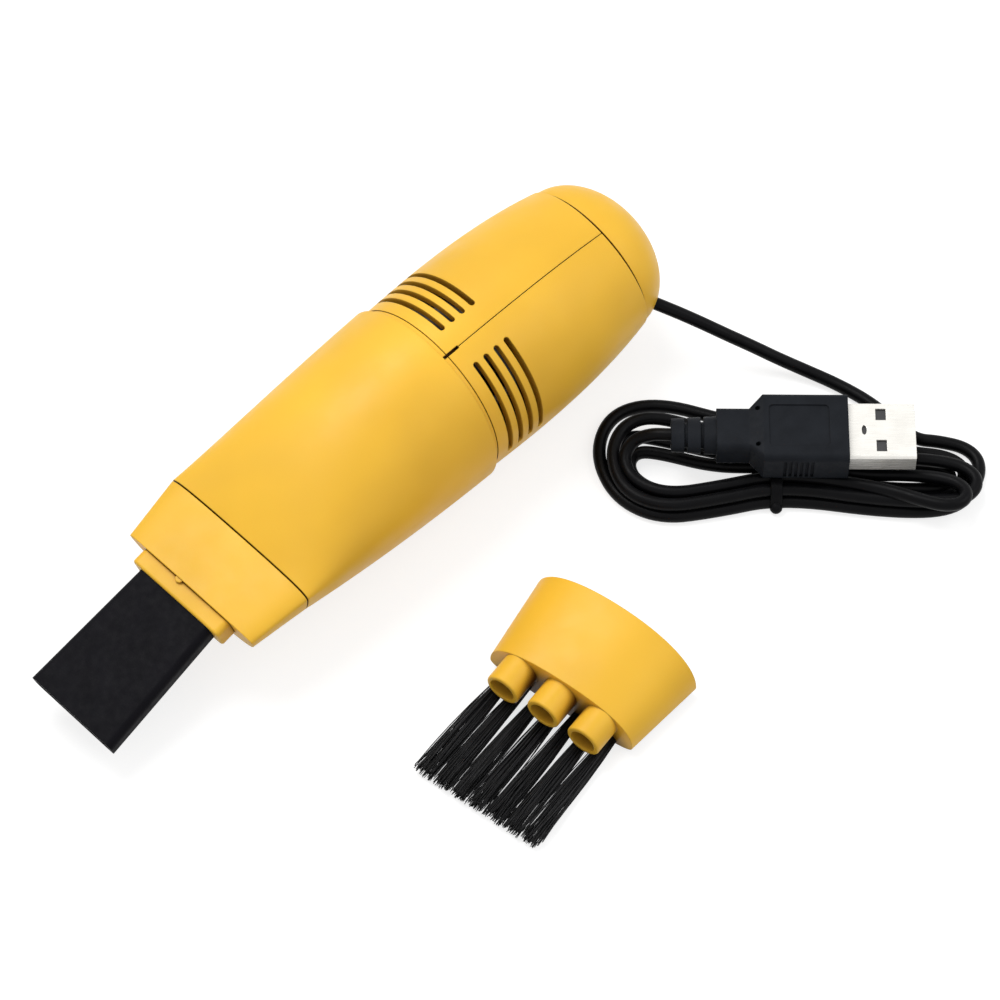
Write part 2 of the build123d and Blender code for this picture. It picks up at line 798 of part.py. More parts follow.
def make_impeller():
    rear = impeller_front_x + impeller_length
    body = rod(rear - impeller_plate, rear, impeller_radius)
    body += rod(impeller_front_x, rear, impeller_hub_radius)
    blade_height = impeller_length - impeller_plate + overlap
    for index in range(blade_count):
        blade = fan_blade(blade_height)
        body += around(impeller_front_x, index * 360 / blade_count) * blade
    return body - rod(impeller_front_x - 1, rear + 1, shaft_radius)


def fan_blade(height):
    """Backward curved blade on local Y and Z, standing along X."""
    root = blade_inner_radius
    tip = impeller_radius - blade_tip_gap
    lean = radians(blade_sweep)
    bow = lean * blade_bow
    middle_radius = (root + tip) / 2
    arc = ThreePointArc((0, root), (middle_radius * sin(bow), middle_radius * cos(bow)),
                        (tip * sin(lean), tip * cos(lean)))
    strip = offset(arc, blade_thickness / 2, side=Side.BOTH)
    return extrude(Plane.YZ * make_face(strip.edges()), height)


def make_motor_mount():
    plate = rear_body(wall + fit_gap) & slab(mount_x, mount_x + mount_thickness)
    plate -= rod(0, motor_front_x + wall, boss_radius + fit_gap)
    for side in (1, -1):
        plate -= motor_screw_rod(side, 0, motor_front_x + wall, motor_screw_radius + motor_screw_gap)
    for x in shell_screw_xs:
        plate -= drill_y(x, shell_screw_z, shell_boss_radius + mount_post_gap, -reach, reach)
    return plate


def motor_screw_rod(side, x_from, x_to, radius):
    return Pos(0, side * motor_screw_offset, 0) * rod(x_from, x_to, radius)


def make_motor_can():
    can = rod(motor_front_x, motor_rear_x, motor_radius)
    can -= rod(motor_front_x + can_face, motor_rear_x + wall, can_inner_radius)
    can += rod(motor_front_x - boss_length, motor_front_x + overlap, boss_radius)
    can -= rod(0, motor_front_x + can_face + wall, bush_radius)
    for side in (1, -1):
        can -= motor_screw_rod(side, mount_x, motor_front_x + can_face + wall, motor_screw_radius)
    return can


def rear_bush_x():
    return motor_rear_x + bell_thickness - bush_inset - bush_length


def make_bushes():
    front = motor_front_x - boss_length + bush_inset
    rear = rear_bush_x()
    bore = shaft_radius + running_gap
    return Compound([ring(front, front + bush_length, bush_radius, bore),
                     ring(rear, rear + bush_length, bush_radius, bore)])


def make_end_bell():
    spigot_radius = can_inner_radius - bell_gap
    bell = rod(motor_rear_x, motor_rear_x + bell_thickness, motor_radius)
    bell += ring(motor_rear_x - bell_spigot, motor_rear_x + overlap, spigot_radius,
                 spigot_radius - bell_spigot_wall)
    bell -= rod(motor_rear_x - reach, motor_rear_x + reach, bush_radius)
    for side in (1, -1):
        bell += carbon_holder(side)
        bell -= terminal(side)
    return bell


def carbon_holder(side):
    """Block on the end bell's inner face that carries one carbon brush."""
    outer = can_inner_radius - holder_gap
    inner = commutator_radius + carbon_size + carbon_grip
    low, high = sorted((side * inner, side * outer))
    front = commutator_front_x() + commutator_length / 2 - carbon_size / 2
    return block(front - overlap, motor_rear_x + overlap, -holder_width / 2, holder_width / 2, low, high)


def make_motor_brushes():
    carbons = []
    centre = commutator_front_x() + commutator_length / 2
    half_size = carbon_size / 2
    for side in (1, -1):
        near = commutator_radius + carbon_gap
        far = commutator_radius + carbon_size + carbon_grip
        low, high = sorted((side * near, side * far))
        carbons.append(block(centre - half_size, centre + half_size, -half_size, half_size, low, high))
    return Compound(carbons)


def terminal(side):
    y = side * terminal_offset
    half_thickness = terminal_thickness / 2
    return block(motor_rear_x - overlap, terminal_end_x, y - half_thickness, y + half_thickness,
                 -terminal_width / 2, terminal_width / 2)


def make_magnets():
    start = motor_front_x + can_face + magnet_start
    shell = ring(start, start + magnet_length, can_inner_radius, can_inner_radius - magnet_thickness)
    magnets = []
    for side in (90, -90):
        magnets += (shell & around(0, side) * wedge(start, start + magnet_length, magnet_angle / 2)).solids()
    return Compound(magnets)


def rotor_front_x():
    return motor_front_x + can_face + rotor_start


def rotor_slots(inner, outer, front, rear, half_angle):
    """Three sectors between the poles of the armature."""
    sector_ring = ring(front, rear, outer, inner)
    slots = []
    for index in range(3):
        slots += (sector_ring & around(0, 60 + index * 120) * wedge(front, rear, half_angle)).solids()
    return slots


def make_rotor_core():
    front = rotor_front_x()
    rear = front + rotor_length
    core = rod(front, rear, rotor_radius)
    for slot in rotor_slots(rotor_hub_radius, rotor_radius - rotor_rim, front - wall, rear + wall,
                            rotor_slot_angle / 2):
        core -= slot
    mouth = block(front - wall, rear + wall, -rotor_mouth / 2, rotor_mouth / 2,
                  rotor_radius - rotor_mouth_depth, rotor_radius + wall)
    for index in range(3):
        core -= around(0, 60 + index * 120) * mouth
    return core - rod(front - wall, rear + wall, shaft_radius)


def make_rotor_windings():
    front = rotor_front_x() - winding_overhang
    rear = rotor_front_x() + rotor_length + winding_overhang
    outer = rotor_radius - rotor_rim - winding_gap
    half_angle = rotor_slot_angle / 2 - winding_gap_angle
    return Compound(rotor_slots(rotor_hub_radius, outer, front, rear, half_angle))


def commutator_front_x():
    return rear_bush_x() - commutator_gap - commutator_length


def make_commutator():
    front = commutator_front_x()
    drum = ring(front, front + commutator_length, commutator_radius, shaft_radius)
    slot = block(front - wall, front + commutator_length + wall, -commutator_slot / 2, commutator_slot / 2,
                 commutator_radius - commutator_slot_depth, commutator_radius + wall)
    for index in range(3):
        drum -= around(0, index * 120) * slot
    return drum


def make_motor_screws():
    screws = []
    top = mount_x - motor_screw_head
    half_length, half_width = cross_length / 2, cross_width / 2
    for side in (1, -1):
        screw = rod(mount_x, motor_front_x + can_face, motor_screw_radius - thread_gap)
        screw += rod(top, mount_x, motor_screw_head_radius)
        screw -= block(top - wall, top + cross_depth, -half_width, half_width, -half_length, half_length)
        screw -= block(top - wall, top + cross_depth, -half_length, half_length, -half_width, half_width)
        screws += (Pos(0, side * motor_screw_offset, 0) * screw).solids()
    return Compound(screws)


def make_shell_screws():
    screws = []
    top = screw_seat_y + screw_head_height
    half_length, half_width = screw_cross_length / 2, cross_width / 2
    for x in shell_screw_xs:
        screw = drill_y(x, shell_screw_z, screw_radius, -screw_depth, screw_seat_y)
        screw += drill_y(x, shell_screw_z, screw_head_radius, screw_seat_y, top)
        screw -= block(x - half_length, x + half_length, top - screw_cross_depth, top + wall,
                       shell_screw_z - half_width, shell_screw_z + half_width)
        screw -= block(x - half_width, x + half_width, top - screw_cross_depth, top + wall,
                       shell_screw_z - half_length, shell_screw_z + half_length)
        screws += screw.solids()
    return Compound(screws)


# ---------------------------------------------------------------- brush head

def brush_body(inset=0.0):
    """The brush head lies on its flat side, so the vacuum's belly side is on top."""
    rim = section(cross_plane(0, deck_rise), deck_half_width, deck_drop, deck_rise, belly_roundness,
                  deck_roundness, inset)
    front = section(cross_plane(-brush_length, brush_front_z), brush_front_half_width, brush_front_rise,
                    brush_front_z, brush_front_roundness, deck_roundness, inset)
    return loft([rim, front])


def tube_rods(radius, x_from, x_to):
    """Bars on the axes of the tubes, the outer ones lower than the middle one."""
    rods = []
    for index in range(tube_count):
        place = index - (tube_count - 1) / 2
        spot = Pos(0, place * tube_pitch, tube_z - abs(place) * tube_side_drop)
        rods.append(spot * rod(x_from, x_to, radius))
    return rods


def make_brush_head():
    inner_x = -brush_length + brush_face
    outer_x = -brush_length - tube_length
    shell = brush_body() - (brush_body(wall) & slab(inner_x, wall))
    for tube in tube_rods(tube_radius, outer_x, inner_x):
        shell += fillet(tube.edges().group_by(Axis.X)[0], tube_edge)
    for bore in tube_rods(tube_bore, outer_x - wall, inner_x + wall):
        shell -= bore
    for stub in tuft_stubs(tuft_gap):
        shell -= stub
    return shell


def tuft_ys():
    return [(index - (tuft_count - 1) / 2) * tuft_pitch for index in range(tuft_count)]


def tuft_stubs(gap=0.0):
    """Roots of the tufts, in blind holes in the front face."""
    stub = rod(-brush_length, -brush_length + tuft_depth, tuft_root_radius + gap)
    return [Pos(0, y, tuft_z) * stub for y in tuft_ys()]


def make_tufts():
    """Tapered tufts that spread towards their tips."""
    root_plane = cross_plane(-brush_length, tuft_z)
    tip_plane = cross_plane(-brush_length - tuft_length, tuft_tip_half_height + tuft_tip_lift)
    solids = []
    for y, stub in zip(tuft_ys(), tuft_stubs()):
        root = root_plane * Pos(y, 0) * Circle(tuft_root_radius)
        tip = tip_plane * Pos(y * tuft_fan, 0) * Ellipse(tuft_tip_half_width, tuft_tip_half_height)
        solids += (loft([root, tip]) + stub).solids()
    return Compound(solids)


# ---------------------------------------------------------------- plug

def plug_bar(x_from, x_to, half_width, half_height, corner):
    outline = RectangleRounded(2 * half_width, 2 * half_height, corner)
    return extrude(cross_plane(x_from) * outline, x_to - x_from, dir=(1, 0, 0))


def make_plug_shell():
    """The overmould ends at x = 0 and the bare shell runs to +X."""
    half_width, half_height = usb_width / 2, usb_height / 2
    tube = plug_bar(-usb_hidden, usb_length, half_width, half_height, usb_corner)
    tube -= plug_bar(-usb_hidden - wall, usb_length + wall, half_width - usb_sheet, half_height - usb_sheet,
                     usb_corner - usb_sheet)
    for side in (1, -1):
        y = side * usb_window_offset
        tube -= block(usb_window_along - usb_window_length / 2, usb_window_along + usb_window_length / 2,
                      y - usb_window_width / 2, y + usb_window_width / 2, -usb_height, usb_height)
    dimple = extrude(Ellipse(usb_dimple_length / 2, usb_dimple_width / 2), usb_height)
    return tube - Pos(usb_dimple_along, 0, 0) * dimple


def make_plug_tongue():
    inset = usb_sheet + usb_fit
    back = plug_bar(-usb_hidden + usb_sheet, -tongue_root / 2, usb_width / 2 - inset, usb_height / 2 - inset,
                    usb_corner - inset)
    tongue = block(-tongue_root, usb_length - tongue_inset, -tongue_width / 2, tongue_width / 2,
                   tongue_lift - tongue_thickness / 2, tongue_lift + tongue_thickness / 2)
    return back + tongue


def make_plug_contacts():
    pads = []
    low = tongue_lift - tongue_thickness / 2 - contact_thickness
    half_width = contact_width / 2
    for index in range(contact_count):
        y = (index - (contact_count - 1) / 2) * contact_pitch
        pads.append(block(contact_start, usb_length - contact_inset, y - half_width, y + half_width,
                          low, low + contact_thickness))
    return Compound(pads)


def relief_outline(x, share):
    return cross_plane(x) * Ellipse(relief_half_width * share, relief_half_height * share)


def make_plug_overmold():
    block_end = -mold_length + mold_shoulder
    neck_end = -mold_length - neck_length
    relief_end = neck_end - relief_length
    body = plug_bar(block_end, 0, mold_half_width, mold_half_height, mold_corner)
    wide = RectangleRounded(2 * mold_half_width, 2 * mold_half_height, mold_corner)
    narrow = RectangleRounded(2 * neck_half_width, 2 * neck_half_height, mold_corner)
    body += loft([cross_plane(-mold_length) * narrow, cross_plane(block_end) * wide])
    body += plug_bar(neck_end, -mold_length + overlap, neck_half_width, neck_half_height, mold_corner)
    body += make_relief(neck_end, relief_end)
    body -= make_grips()
    panel = RectangleRounded(panel_length, panel_width, panel_corner)
    body -= Pos(-panel_middle, 0, mold_half_height - panel_depth) * extrude(panel, wall)
    pin_mark = extrude(Circle(pin_mark_radius), mold_half_height)
    for side in (1, -1):
        body -= Pos(-pin_mark_along, side * pin_mark_offset, 0) * pin_mark
    body -= plug_bar(-usb_hidden, wall, usb_width / 2, usb_height / 2, usb_corner)
    return body - rod(relief_end - wall, relief_end + relief_grip, cord_radius)


def make_relief(neck_end, relief_end):
    """Tapered strain relief with grooves round it."""
    groove_share = relief_groove_depth / relief_half_height
    relief = loft([relief_outline(relief_end, relief_tip_share), relief_outline(neck_end + overlap, 1)])
    core = loft([relief_outline(relief_end, relief_tip_share - groove_share),
                 relief_outline(neck_end, 1 - groove_share)])
    for place in relief_grooves:
        x = neck_end - place
        relief -= slab(x - relief_groove / 2, x + relief_groove / 2) - core
    return relief


def make_grips():
    """Cutters of the grip grooves in both sides of the overmould."""
    cutters = []
    half_height = mold_half_height - grip_margin
    for index in range(grip_rib_count):
        x = -grip_first - index * grip_rib_pitch
        for side in (1, -1):
            low, high = sorted((side * (mold_half_width - grip_rib_depth), side * (mold_half_width + wall)))
            cutters.append(block(x - grip_rib_width, x, low, high, -half_height, half_height))
    return cutters


# ---------------------------------------------------------------- lead and hank

def around_loop(centre, radius, angle):
    return centre[0] + radius * cos(radians(angle)), centre[1] + radius * sin(radians(angle))


def near_bundle_y(inset):
    """Near side of the outline where the tie sits, in the plug's directions."""
    straight = hank_shift_y - hank_left_radius + inset
    return straight + (hank_swell if inset else hank_pinch)


def hank_outline(inset):
    """Two loops of different size joined by straight bundles; the tie draws the near one in."""
    left = hank_left_radius - inset
    right = hank_right_radius - inset
    left_middle = (hank_shift_x, hank_shift_y)
    right_middle = (hank_shift_x + hank_length, hank_shift_y - hank_left_radius + hank_right_radius)
    lean = Vector(1, 0).get_signed_angle(Vector(hank_length, hank_right_radius - hank_left_radius))
    top = 90 + 2 * lean
    start = around_loop(left_middle, left, -90)
    finish = around_loop(right_middle, right, -90)
    right_top = around_loop(right_middle, right, top)
    left_top = around_loop(left_middle, left, top)
    outline = [
        Spline(start, (tie_along, near_bundle_y(inset)), finish, tangents=[(1, 0), (1, 0), (1, 0)]),
        ThreePointArc(finish, around_loop(right_middle, right, top / 2 - 45), right_top),
        Line(right_top, left_top),
        ThreePointArc(left_top, around_loop(left_middle, left, top / 2 + 135), start),
    ]
    return make_face(Wire(outline))


def tie_ring():
    """Band round the near bundle, in the plug's directions."""
    low = near_bundle_y(0)
    high = near_bundle_y(hank_band)
    outer = block(tie_along - tie_width / 2, tie_along + tie_width / 2, low - tie_thickness,
                  high + tie_thickness, 0, hank_height)
    inner = block(tie_along - tie_width, tie_along + tie_width, low, high, tie_thickness,
                  hank_height - tie_thickness)
    return outer - inner


def make_hank():
    solid = extrude(hank_outline(0), hank_height) - extrude(hank_outline(hank_band), hank_height)
    solid = fillet(solid.faces().sort_by(Axis.Z)[-1].edges(), hank_rounding)
    return solid - tie_ring()


def cord_path(points):
    """Straight runs joined by the largest arcs that they allow, with the radii printed."""
    radii = []
    for before, corner, after in zip(points, points[1:], points[2:]):
        first = Vector(*corner) - Vector(*before)
        second = Vector(*after) - Vector(*corner)
        half_turn = radians(first.get_angle(second) / 2)
        radii.append(0.45 * min(first.length, second.length) / tan(half_turn))
    print("arc radii", [round(radius, 1) for radius in radii])
    return FilletPolyline(*points, radius=radii)


def make_tube(points, radius):
    path = cord_path(points)
    start = Plane(origin=path @ 0, z_dir=path % 0)
    tube = sweep(start * Circle(radius), path=path)
    print("tube length", round(path.length, 1), "volume share",
          round(tube.volume / (path.length * pi * radius ** 2), 4))
    return tube


def exit_frame():
    """Plane in the rear shells' frame where the lead leaves the cap, square to its surface."""
    half_width = cap_seam_half_width - cap_inset
    along = (exit_x - cap_seam_x) / cap_length
    y = -half_width * sqrt(1 - along ** 2)
    normal = (along / cap_length, y / half_width ** 2, 0)
    return Plane(origin=(exit_x, y, 0), z_dir=normal)


def exit_rod(x_from, x_to, radius):
    """Round bar on the lead's exit line, between two distances outside the cap's surface."""
    return extrude(exit_frame().offset(x_from) * Circle(radius), x_to - x_from)


def make_grommet(cap):
    """Rubber bush in the cap's wall, flush outside and with a flange inside."""
    body = exit_rod(-grommet_length, grommet_cut, grommet_radius)
    flange = exit_rod(-wall - grommet_flange, overlap - wall, grommet_flange_radius)
    bush = (body + flange) & solid_dome()
    return bush - cap - exit_rod(-grommet_length - grommet_cut, grommet_cut, cord_radius)


def solid_dome():
    return dome(cap_length, cap_seam_half_width - cap_inset, cap_seam_half_height - cap_inset)


def grommet_hole():
    return exit_rod(-grommet_length - grommet_cut, grommet_cut, grommet_radius)


def on_exit_line(forward):
    """Point on the lead's exit line, in the row's frame."""
    point = in_rear(Vertex(*exit_frame().offset(forward).origin)).center()
    return point.X, point.Y, point.Z


# ---------------------------------------------------------------- wires

def make_wire(points):
    """Insulated wire inside the rear shells."""
    path = cord_path(points)
    start = Plane(origin=path @ 0, z_dir=path % 0)
    return sweep(start * Circle(wire_radius), path=path)


def lead_core(offset_z, inside):
    """Point on one core of the lead, inside the cap."""
    origin = exit_frame().offset(-inside).origin
    return origin.X, origin.Y, offset_z


def switch_pin_x(index):
    return switch_x + (index - (switch_pin_count - 1) / 2) * switch_pin_pitch


def by_switch(x, y, z, share=1.0):
    """Point beside the motor, turned down towards the switch by a share of the switch's angle."""
    turn = radians(switch_angle * share)
    return x, y * cos(turn) - z * sin(turn), y * sin(turn) + z * cos(turn)


def make_wire_black():
    """From the lead to one motor terminal."""
    return make_wire([
        lead_core(wire_radius, lead_grip + wire_end_gap),
        lead_core(wire_radius, grommet_length + wire_lead),
        (terminal_end_x - wire_strip, -terminal_offset - wire_radius / 2, wire_radius / 2),
    ])


def make_wire_red():
    """From the lead round behind the motor to the middle pin of the switch."""
    loop_x = terminal_end_x + wire_loop
    drop = wire_loop_drop + terminal_width / 2
    return make_wire([
        lead_core(-wire_radius, lead_grip + wire_end_gap),
        lead_core(-wire_radius * 1.3, grommet_length + wire_lead),
        (loop_x, -terminal_offset + wire_radius, -wire_loop_drop),
        (loop_x + wire_radius / 2, 0.0, -drop),
        (loop_x - wire_radius, terminal_offset - wire_radius, -drop + wire_radius / 2),
        by_switch(terminal_end_x - 2.0, wire_joint_y - wire_radius, -4.5 * wire_radius, 0.7),
        by_switch(motor_rear_x - wire_radius, wire_side_y, -3.3 * wire_radius),
        by_switch(switch_pin_x(1) + 4.4, wire_joint_y + wire_radius / 3, -2.8 * wire_radius),
        by_switch(switch_pin_x(1) + wire_radius, wire_joint_y, -1.3 * wire_radius),
    ])


def make_wire_switch():
    """From the rear pin of the switch to the other motor terminal."""
    tab_x = terminal_end_x - wire_strip
    return make_wire([
        by_switch(switch_pin_x(2), wire_joint_y, wire_radius / 3),
        by_switch(switch_pin_x(2) + 4.1, wire_side_y - wire_radius / 6, 1.3 * wire_radius),
        by_switch(motor_rear_x + wire_radius, wire_side_y + wire_radius / 6, 2 * wire_radius, 0.9),
        by_switch(terminal_end_x - 2.2, wire_joint_y, 1.6 * wire_radius, 0.5),
        (tab_x + wire_radius, terminal_offset + 2.6 * wire_radius, wire_radius),
        (tab_x, terminal_offset + wire_radius / 3, wire_radius / 2),
    ])


# ---------------------------------------------------------------- placing and writing

def relief_point(inside):
    """Point on the cord's axis in the strain relief, in the row's frame."""
    end = in_plug(Vertex(-mold_length - neck_length - relief_length + inside, 0, 0)).center()
    return end.X, end.Y, end.Z


def in_vacuum(shape):
    return Pos(vacuum_x, vacuum_y, axis_height) * shape


def in_rear(shape):
    return Pos(vacuum_x, vacuum_y, axis_height) * Rot(rear_turn, 0, 0) * shape


def in_brush(shape):
    return Pos(vacuum_x + brush_x, vacuum_y + brush_y, 0) * Rot(0, 0, brush_turn) * shape


def in_plug(shape):
    middle = hank_height + mold_half_height
    return Pos(vacuum_x + plug_x, vacuum_y + plug_y, middle) * Rot(0, 0, plug_turn) * shape


def on_hank(shape):
    return Pos(vacuum_x + plug_x, vacuum_y + plug_y, 0) * Rot(0, 0, plug_turn) * shape


parts["front_housing"] = in_vacuum(make_front_housing())
parts["head_shell"] = in_vacuum(make_head_shell())
parts["nozzle_collar"] = in_vacuum(make_collar())
parts["crevice_nozzle"] = in_vacuum(make_nozzle())
parts["filter_frame"] = in_vacuum(make_filter_frame())
parts["filter_bag"] = in_vacuum(make_filter_bag())
parts["cup_seal"] = in_vacuum(seal_ring(seal_proud))
parts["fan_shroud"] = in_vacuum(make_fan_shroud())

left_shell, right_shell = make_rear_shells()
parts["rear_shell_left"] = in_rear(left_shell)
parts["rear_shell_right"] = in_rear(right_shell)
end_cap = make_end_cap() - grommet_hole()
parts["end_cap"] = in_rear(end_cap)
parts["cord_grommet"] = in_rear(make_grommet(end_cap))
parts["shell_screws"] = in_rear(make_shell_screws())
parts["motor_mount"] = in_rear(make_motor_mount())
parts["motor_can"] = in_rear(make_motor_can())
parts["motor_magnets"] = in_rear(make_magnets())
parts["motor_end_bell"] = in_rear(make_end_bell())
parts["motor_bushes"] = in_rear(make_bushes())
parts["motor_brushes"] = in_rear(make_motor_brushes())
parts["motor_terminals"] = in_rear(Compound([terminal(1), terminal(-1)]))
parts["motor_screws"] = in_rear(make_motor_screws())
parts["motor_shaft"] = in_rear(rod(impeller_front_x - 0.4, motor_rear_x + bell_thickness - 0.3, shaft_radius))
parts["impeller"] = in_rear(make_impeller())
parts["rotor_core"] = in_rear(make_rotor_core())
parts["rotor_windings"] = in_rear(make_rotor_windings())
parts["commutator"] = in_rear(make_commutator())
parts["switch_knob"] = in_rear(make_switch_knob())
parts["switch_body"] = in_rear(make_switch_body())
parts["switch_terminals"] = in_rear(make_switch_terminals())

parts["wire_black"] = in_rear(make_wire_black())
parts["wire_red"] = in_rear(make_wire_red())
parts["wire_switch"] = in_rear(make_wire_switch())

parts["brush_head_shell"] = in_brush(make_brush_head())
parts["bristle_tufts"] = in_brush(make_tufts())

parts["plug_shell"] = in_plug(make_plug_shell())
parts["plug_tongue"] = in_plug(make_plug_tongue())
parts["plug_contacts"] = in_plug(make_plug_contacts())
parts["plug_overmold"] = in_plug(make_plug_overmold())
parts["cord_hank"] = on_hank(make_hank())
parts["cord_tie"] = on_hank(tie_ring())
lead_points = [on_exit_line(-lead_grip), on_exit_line(lead_start)] + list(lead_route)
parts["cord_lead"] = make_tube(lead_points, cord_radius)
parts["cord_plug_end"] = make_tube([relief_point(relief_grip)] + list(plug_end_route), cord_radius)

os.makedirs("parts", exist_ok=True)
for name, shape in parts.items():
    export_step(shape, os.path.join("parts", name + ".step"))
    box = shape.bounding_box()
    print(name, [round(v, 2) for v in (box.min.X, box.max.X, box.min.Y, box.max.Y, box.min.Z, box.max.Z)])
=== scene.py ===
"""Looks of a desktop mini vacuum cleaner with a loose brush head and a USB lead.

Metres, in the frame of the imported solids: +X runs from nozzle to tail, +Z is up and z = 0 is the table.
"""

import math
import random

import bmesh
import bpy
from mathutils import Matrix, Vector


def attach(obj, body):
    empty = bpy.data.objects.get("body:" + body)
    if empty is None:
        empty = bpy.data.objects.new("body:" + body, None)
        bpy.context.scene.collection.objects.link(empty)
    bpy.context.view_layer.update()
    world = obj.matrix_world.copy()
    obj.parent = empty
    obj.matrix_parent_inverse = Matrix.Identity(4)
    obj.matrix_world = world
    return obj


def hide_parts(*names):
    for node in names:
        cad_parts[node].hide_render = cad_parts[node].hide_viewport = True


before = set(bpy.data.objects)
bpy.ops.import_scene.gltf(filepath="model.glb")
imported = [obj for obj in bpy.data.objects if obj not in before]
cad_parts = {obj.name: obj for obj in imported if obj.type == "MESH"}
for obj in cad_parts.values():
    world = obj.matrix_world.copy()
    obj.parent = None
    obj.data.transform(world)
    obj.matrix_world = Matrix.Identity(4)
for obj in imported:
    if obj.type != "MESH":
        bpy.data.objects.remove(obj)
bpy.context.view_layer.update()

bl_info = {
    "name": "Mini Vacuum Looks",
    "version": (1, 0, 0),
    "blender": (4, 5, 0),
    "location": "View3D > Sidebar > Mini Vacuum",
    "description": "Finishes, cord, bristles and stage of a desktop mini vacuum cleaner",
    "category": "Object",
}

# ---- where the pieces lie on the table ----
BRUSH_ORIGIN = Vector((0.01198, -0.02663, 0.0))      # middle of the brush head's open rim
BRUSH_TURN = math.radians(8.8)
PLUG_ORIGIN = Vector((0.06978, -0.02933, 0.0))       # end of the overmould, seen from above
PLUG_TURN = math.radians(-45.3)

# ---- the cord's route ----
LEAD_POINTS = (          # from the grommet in the end cap down to the hank
    (0.0629, 0.01450, 0.01454),
    (0.0648, 0.0111, 0.0135),
    (0.0677, 0.0064, 0.0113),
    (0.0705, 0.0022, 0.0087),
    (0.0734, -0.0019, 0.0061),
    (0.0762, -0.0065, 0.0036),
    (0.0788, -0.0115, 0.0020),
    (0.0809, -0.0169, 0.0013),
    (0.0822, -0.0233, 0.0013),
    (0.0823, -0.0295, 0.0013),
    (0.0820, -0.0355, 0.0013),
)
ON_TABLE = 0.00124       # cord centre when it lies on the table
ON_CORD = 0.00345        # and when it lies in the groove between two strands
# Turns of the hank, clockwise seen from above, each from its right loop by the near bundle and its left loop
# back to the far side: points along the plug from its overmould's end, across it and above the table.
TURNS = (
    ((0.0176, 0.0040, ON_TABLE), (0.0227, 0.0026, ON_TABLE), (0.0251, -0.0008, ON_TABLE),
     (0.0239, -0.0058, ON_TABLE), (0.0197, -0.0111, ON_TABLE),
     (0.0080, -0.0116, ON_TABLE), (-0.0120, -0.0086, ON_TABLE), (-0.0240, -0.0116, ON_TABLE),
     (-0.0345, -0.0133, ON_TABLE), (-0.0427, -0.0086, ON_TABLE), (-0.0462, 0.0010, ON_TABLE),
     (-0.0432, 0.0097, ON_TABLE), (-0.0345, 0.0123, ON_TABLE),
     (-0.0215, 0.0082, ON_TABLE), (-0.0060, 0.0044, ON_TABLE)),
    ((0.0120, 0.0015, ON_TABLE), (0.0187, 0.0008, ON_TABLE), (0.0222, -0.0019, ON_TABLE),
     (0.0213, -0.0058, ON_TABLE), (0.0178, -0.0087, ON_TABLE),
     (0.0060, -0.0090, ON_TABLE), (-0.0120, -0.0061, ON_TABLE), (-0.0240, -0.0091, ON_TABLE),
     (-0.0340, -0.0109, ON_TABLE), (-0.0404, -0.0078, ON_TABLE), (-0.0431, -0.0020, ON_TABLE),
     (-0.0424, 0.0028, ON_TABLE), (-0.0393, 0.0049, ON_TABLE), (-0.0345, 0.0041, ON_TABLE),
     (-0.0240, 0.0012, ON_TABLE), (-0.0120, -0.0011, ON_TABLE), (-0.0050, -0.0020, ON_TABLE)),
    ((0.0020, -0.0017, 0.0036), (0.0090, -0.0012, 0.0038), (0.0192, -0.0021, 0.0037),
     (0.0232, -0.0043, 0.0037), (0.0240, -0.0070, 0.0037), (0.0222, -0.0096, 0.0037),
     (0.0180, -0.0108, 0.0036),
     (0.0060, -0.0103, ON_CORD), (-0.0120, -0.0074, ON_CORD), (-0.0240, -0.0104, ON_CORD),
     (-0.0340, -0.0122, ON_CORD), (-0.0412, -0.0086, ON_CORD), (-0.0435, -0.0006, ON_CORD),
     (-0.0409, 0.0059, 0.0037), (-0.0345, 0.0079, 0.0036),
     (-0.0215, 0.0043, ON_TABLE), (-0.0060, 0.0012, ON_TABLE)),
    ((0.0050, -0.0008, ON_TABLE), (0.0110, -0.0015, ON_TABLE), (0.0160, -0.0016, ON_TABLE),
     (0.0189, -0.0026, ON_TABLE), (0.0195, -0.0044, ON_TABLE), (0.0182, -0.0061, ON_TABLE),
     (0.0150, -0.0066, ON_TABLE),
     (0.0060, -0.0064, ON_TABLE), (-0.0120, -0.0036, ON_TABLE), (-0.0240, -0.0064, ON_TABLE),
     (-0.0330, -0.0081, ON_TABLE), (-0.0385, -0.0054, ON_TABLE), (-0.0402, -0.0016, ON_TABLE),
     (-0.0385, 0.0014, ON_TABLE), (-0.0340, 0.0010, ON_TABLE),
     (-0.0250, -0.0017, ON_TABLE), (-0.0170, -0.0026, 0.0022), (-0.0100, -0.0026, 0.0035)),
    ((0.0000, -0.0044, 0.0037), (0.0050, -0.0050, 0.0036), (0.0110, -0.0049, 0.0037),
     (0.0182, -0.0062, 0.0045), (0.0213, -0.0086, 0.0054), (0.0217, -0.0111, 0.0059),
     (0.0198, -0.0129, 0.0060), (0.0155, -0.0127, 0.0059),
     (0.0060, -0.0083, 0.0048), (-0.0120, -0.0048, ON_CORD), (-0.0240, -0.0078, ON_CORD),
     (-0.0330, -0.0094, ON_CORD), (-0.0392, -0.0066, ON_CORD), (-0.0412, -0.0022, 0.0040),
     (-0.0395, 0.0008, 0.0058), (-0.0361, 0.0009, 0.0079)),
)
PLUG_END_POINTS = (      # into the plug's strain relief, in the same directions
    (-0.0330, 0.0002, 0.0089),
    (-0.0286, 0.0000, 0.0089),
)
SPLINE_ORDER = 3         # a curve keeps close to its control points
CORD_ROUNDNESS = 5       # bevel resolution
CORD_STEPS = 8           # from one control point to the next

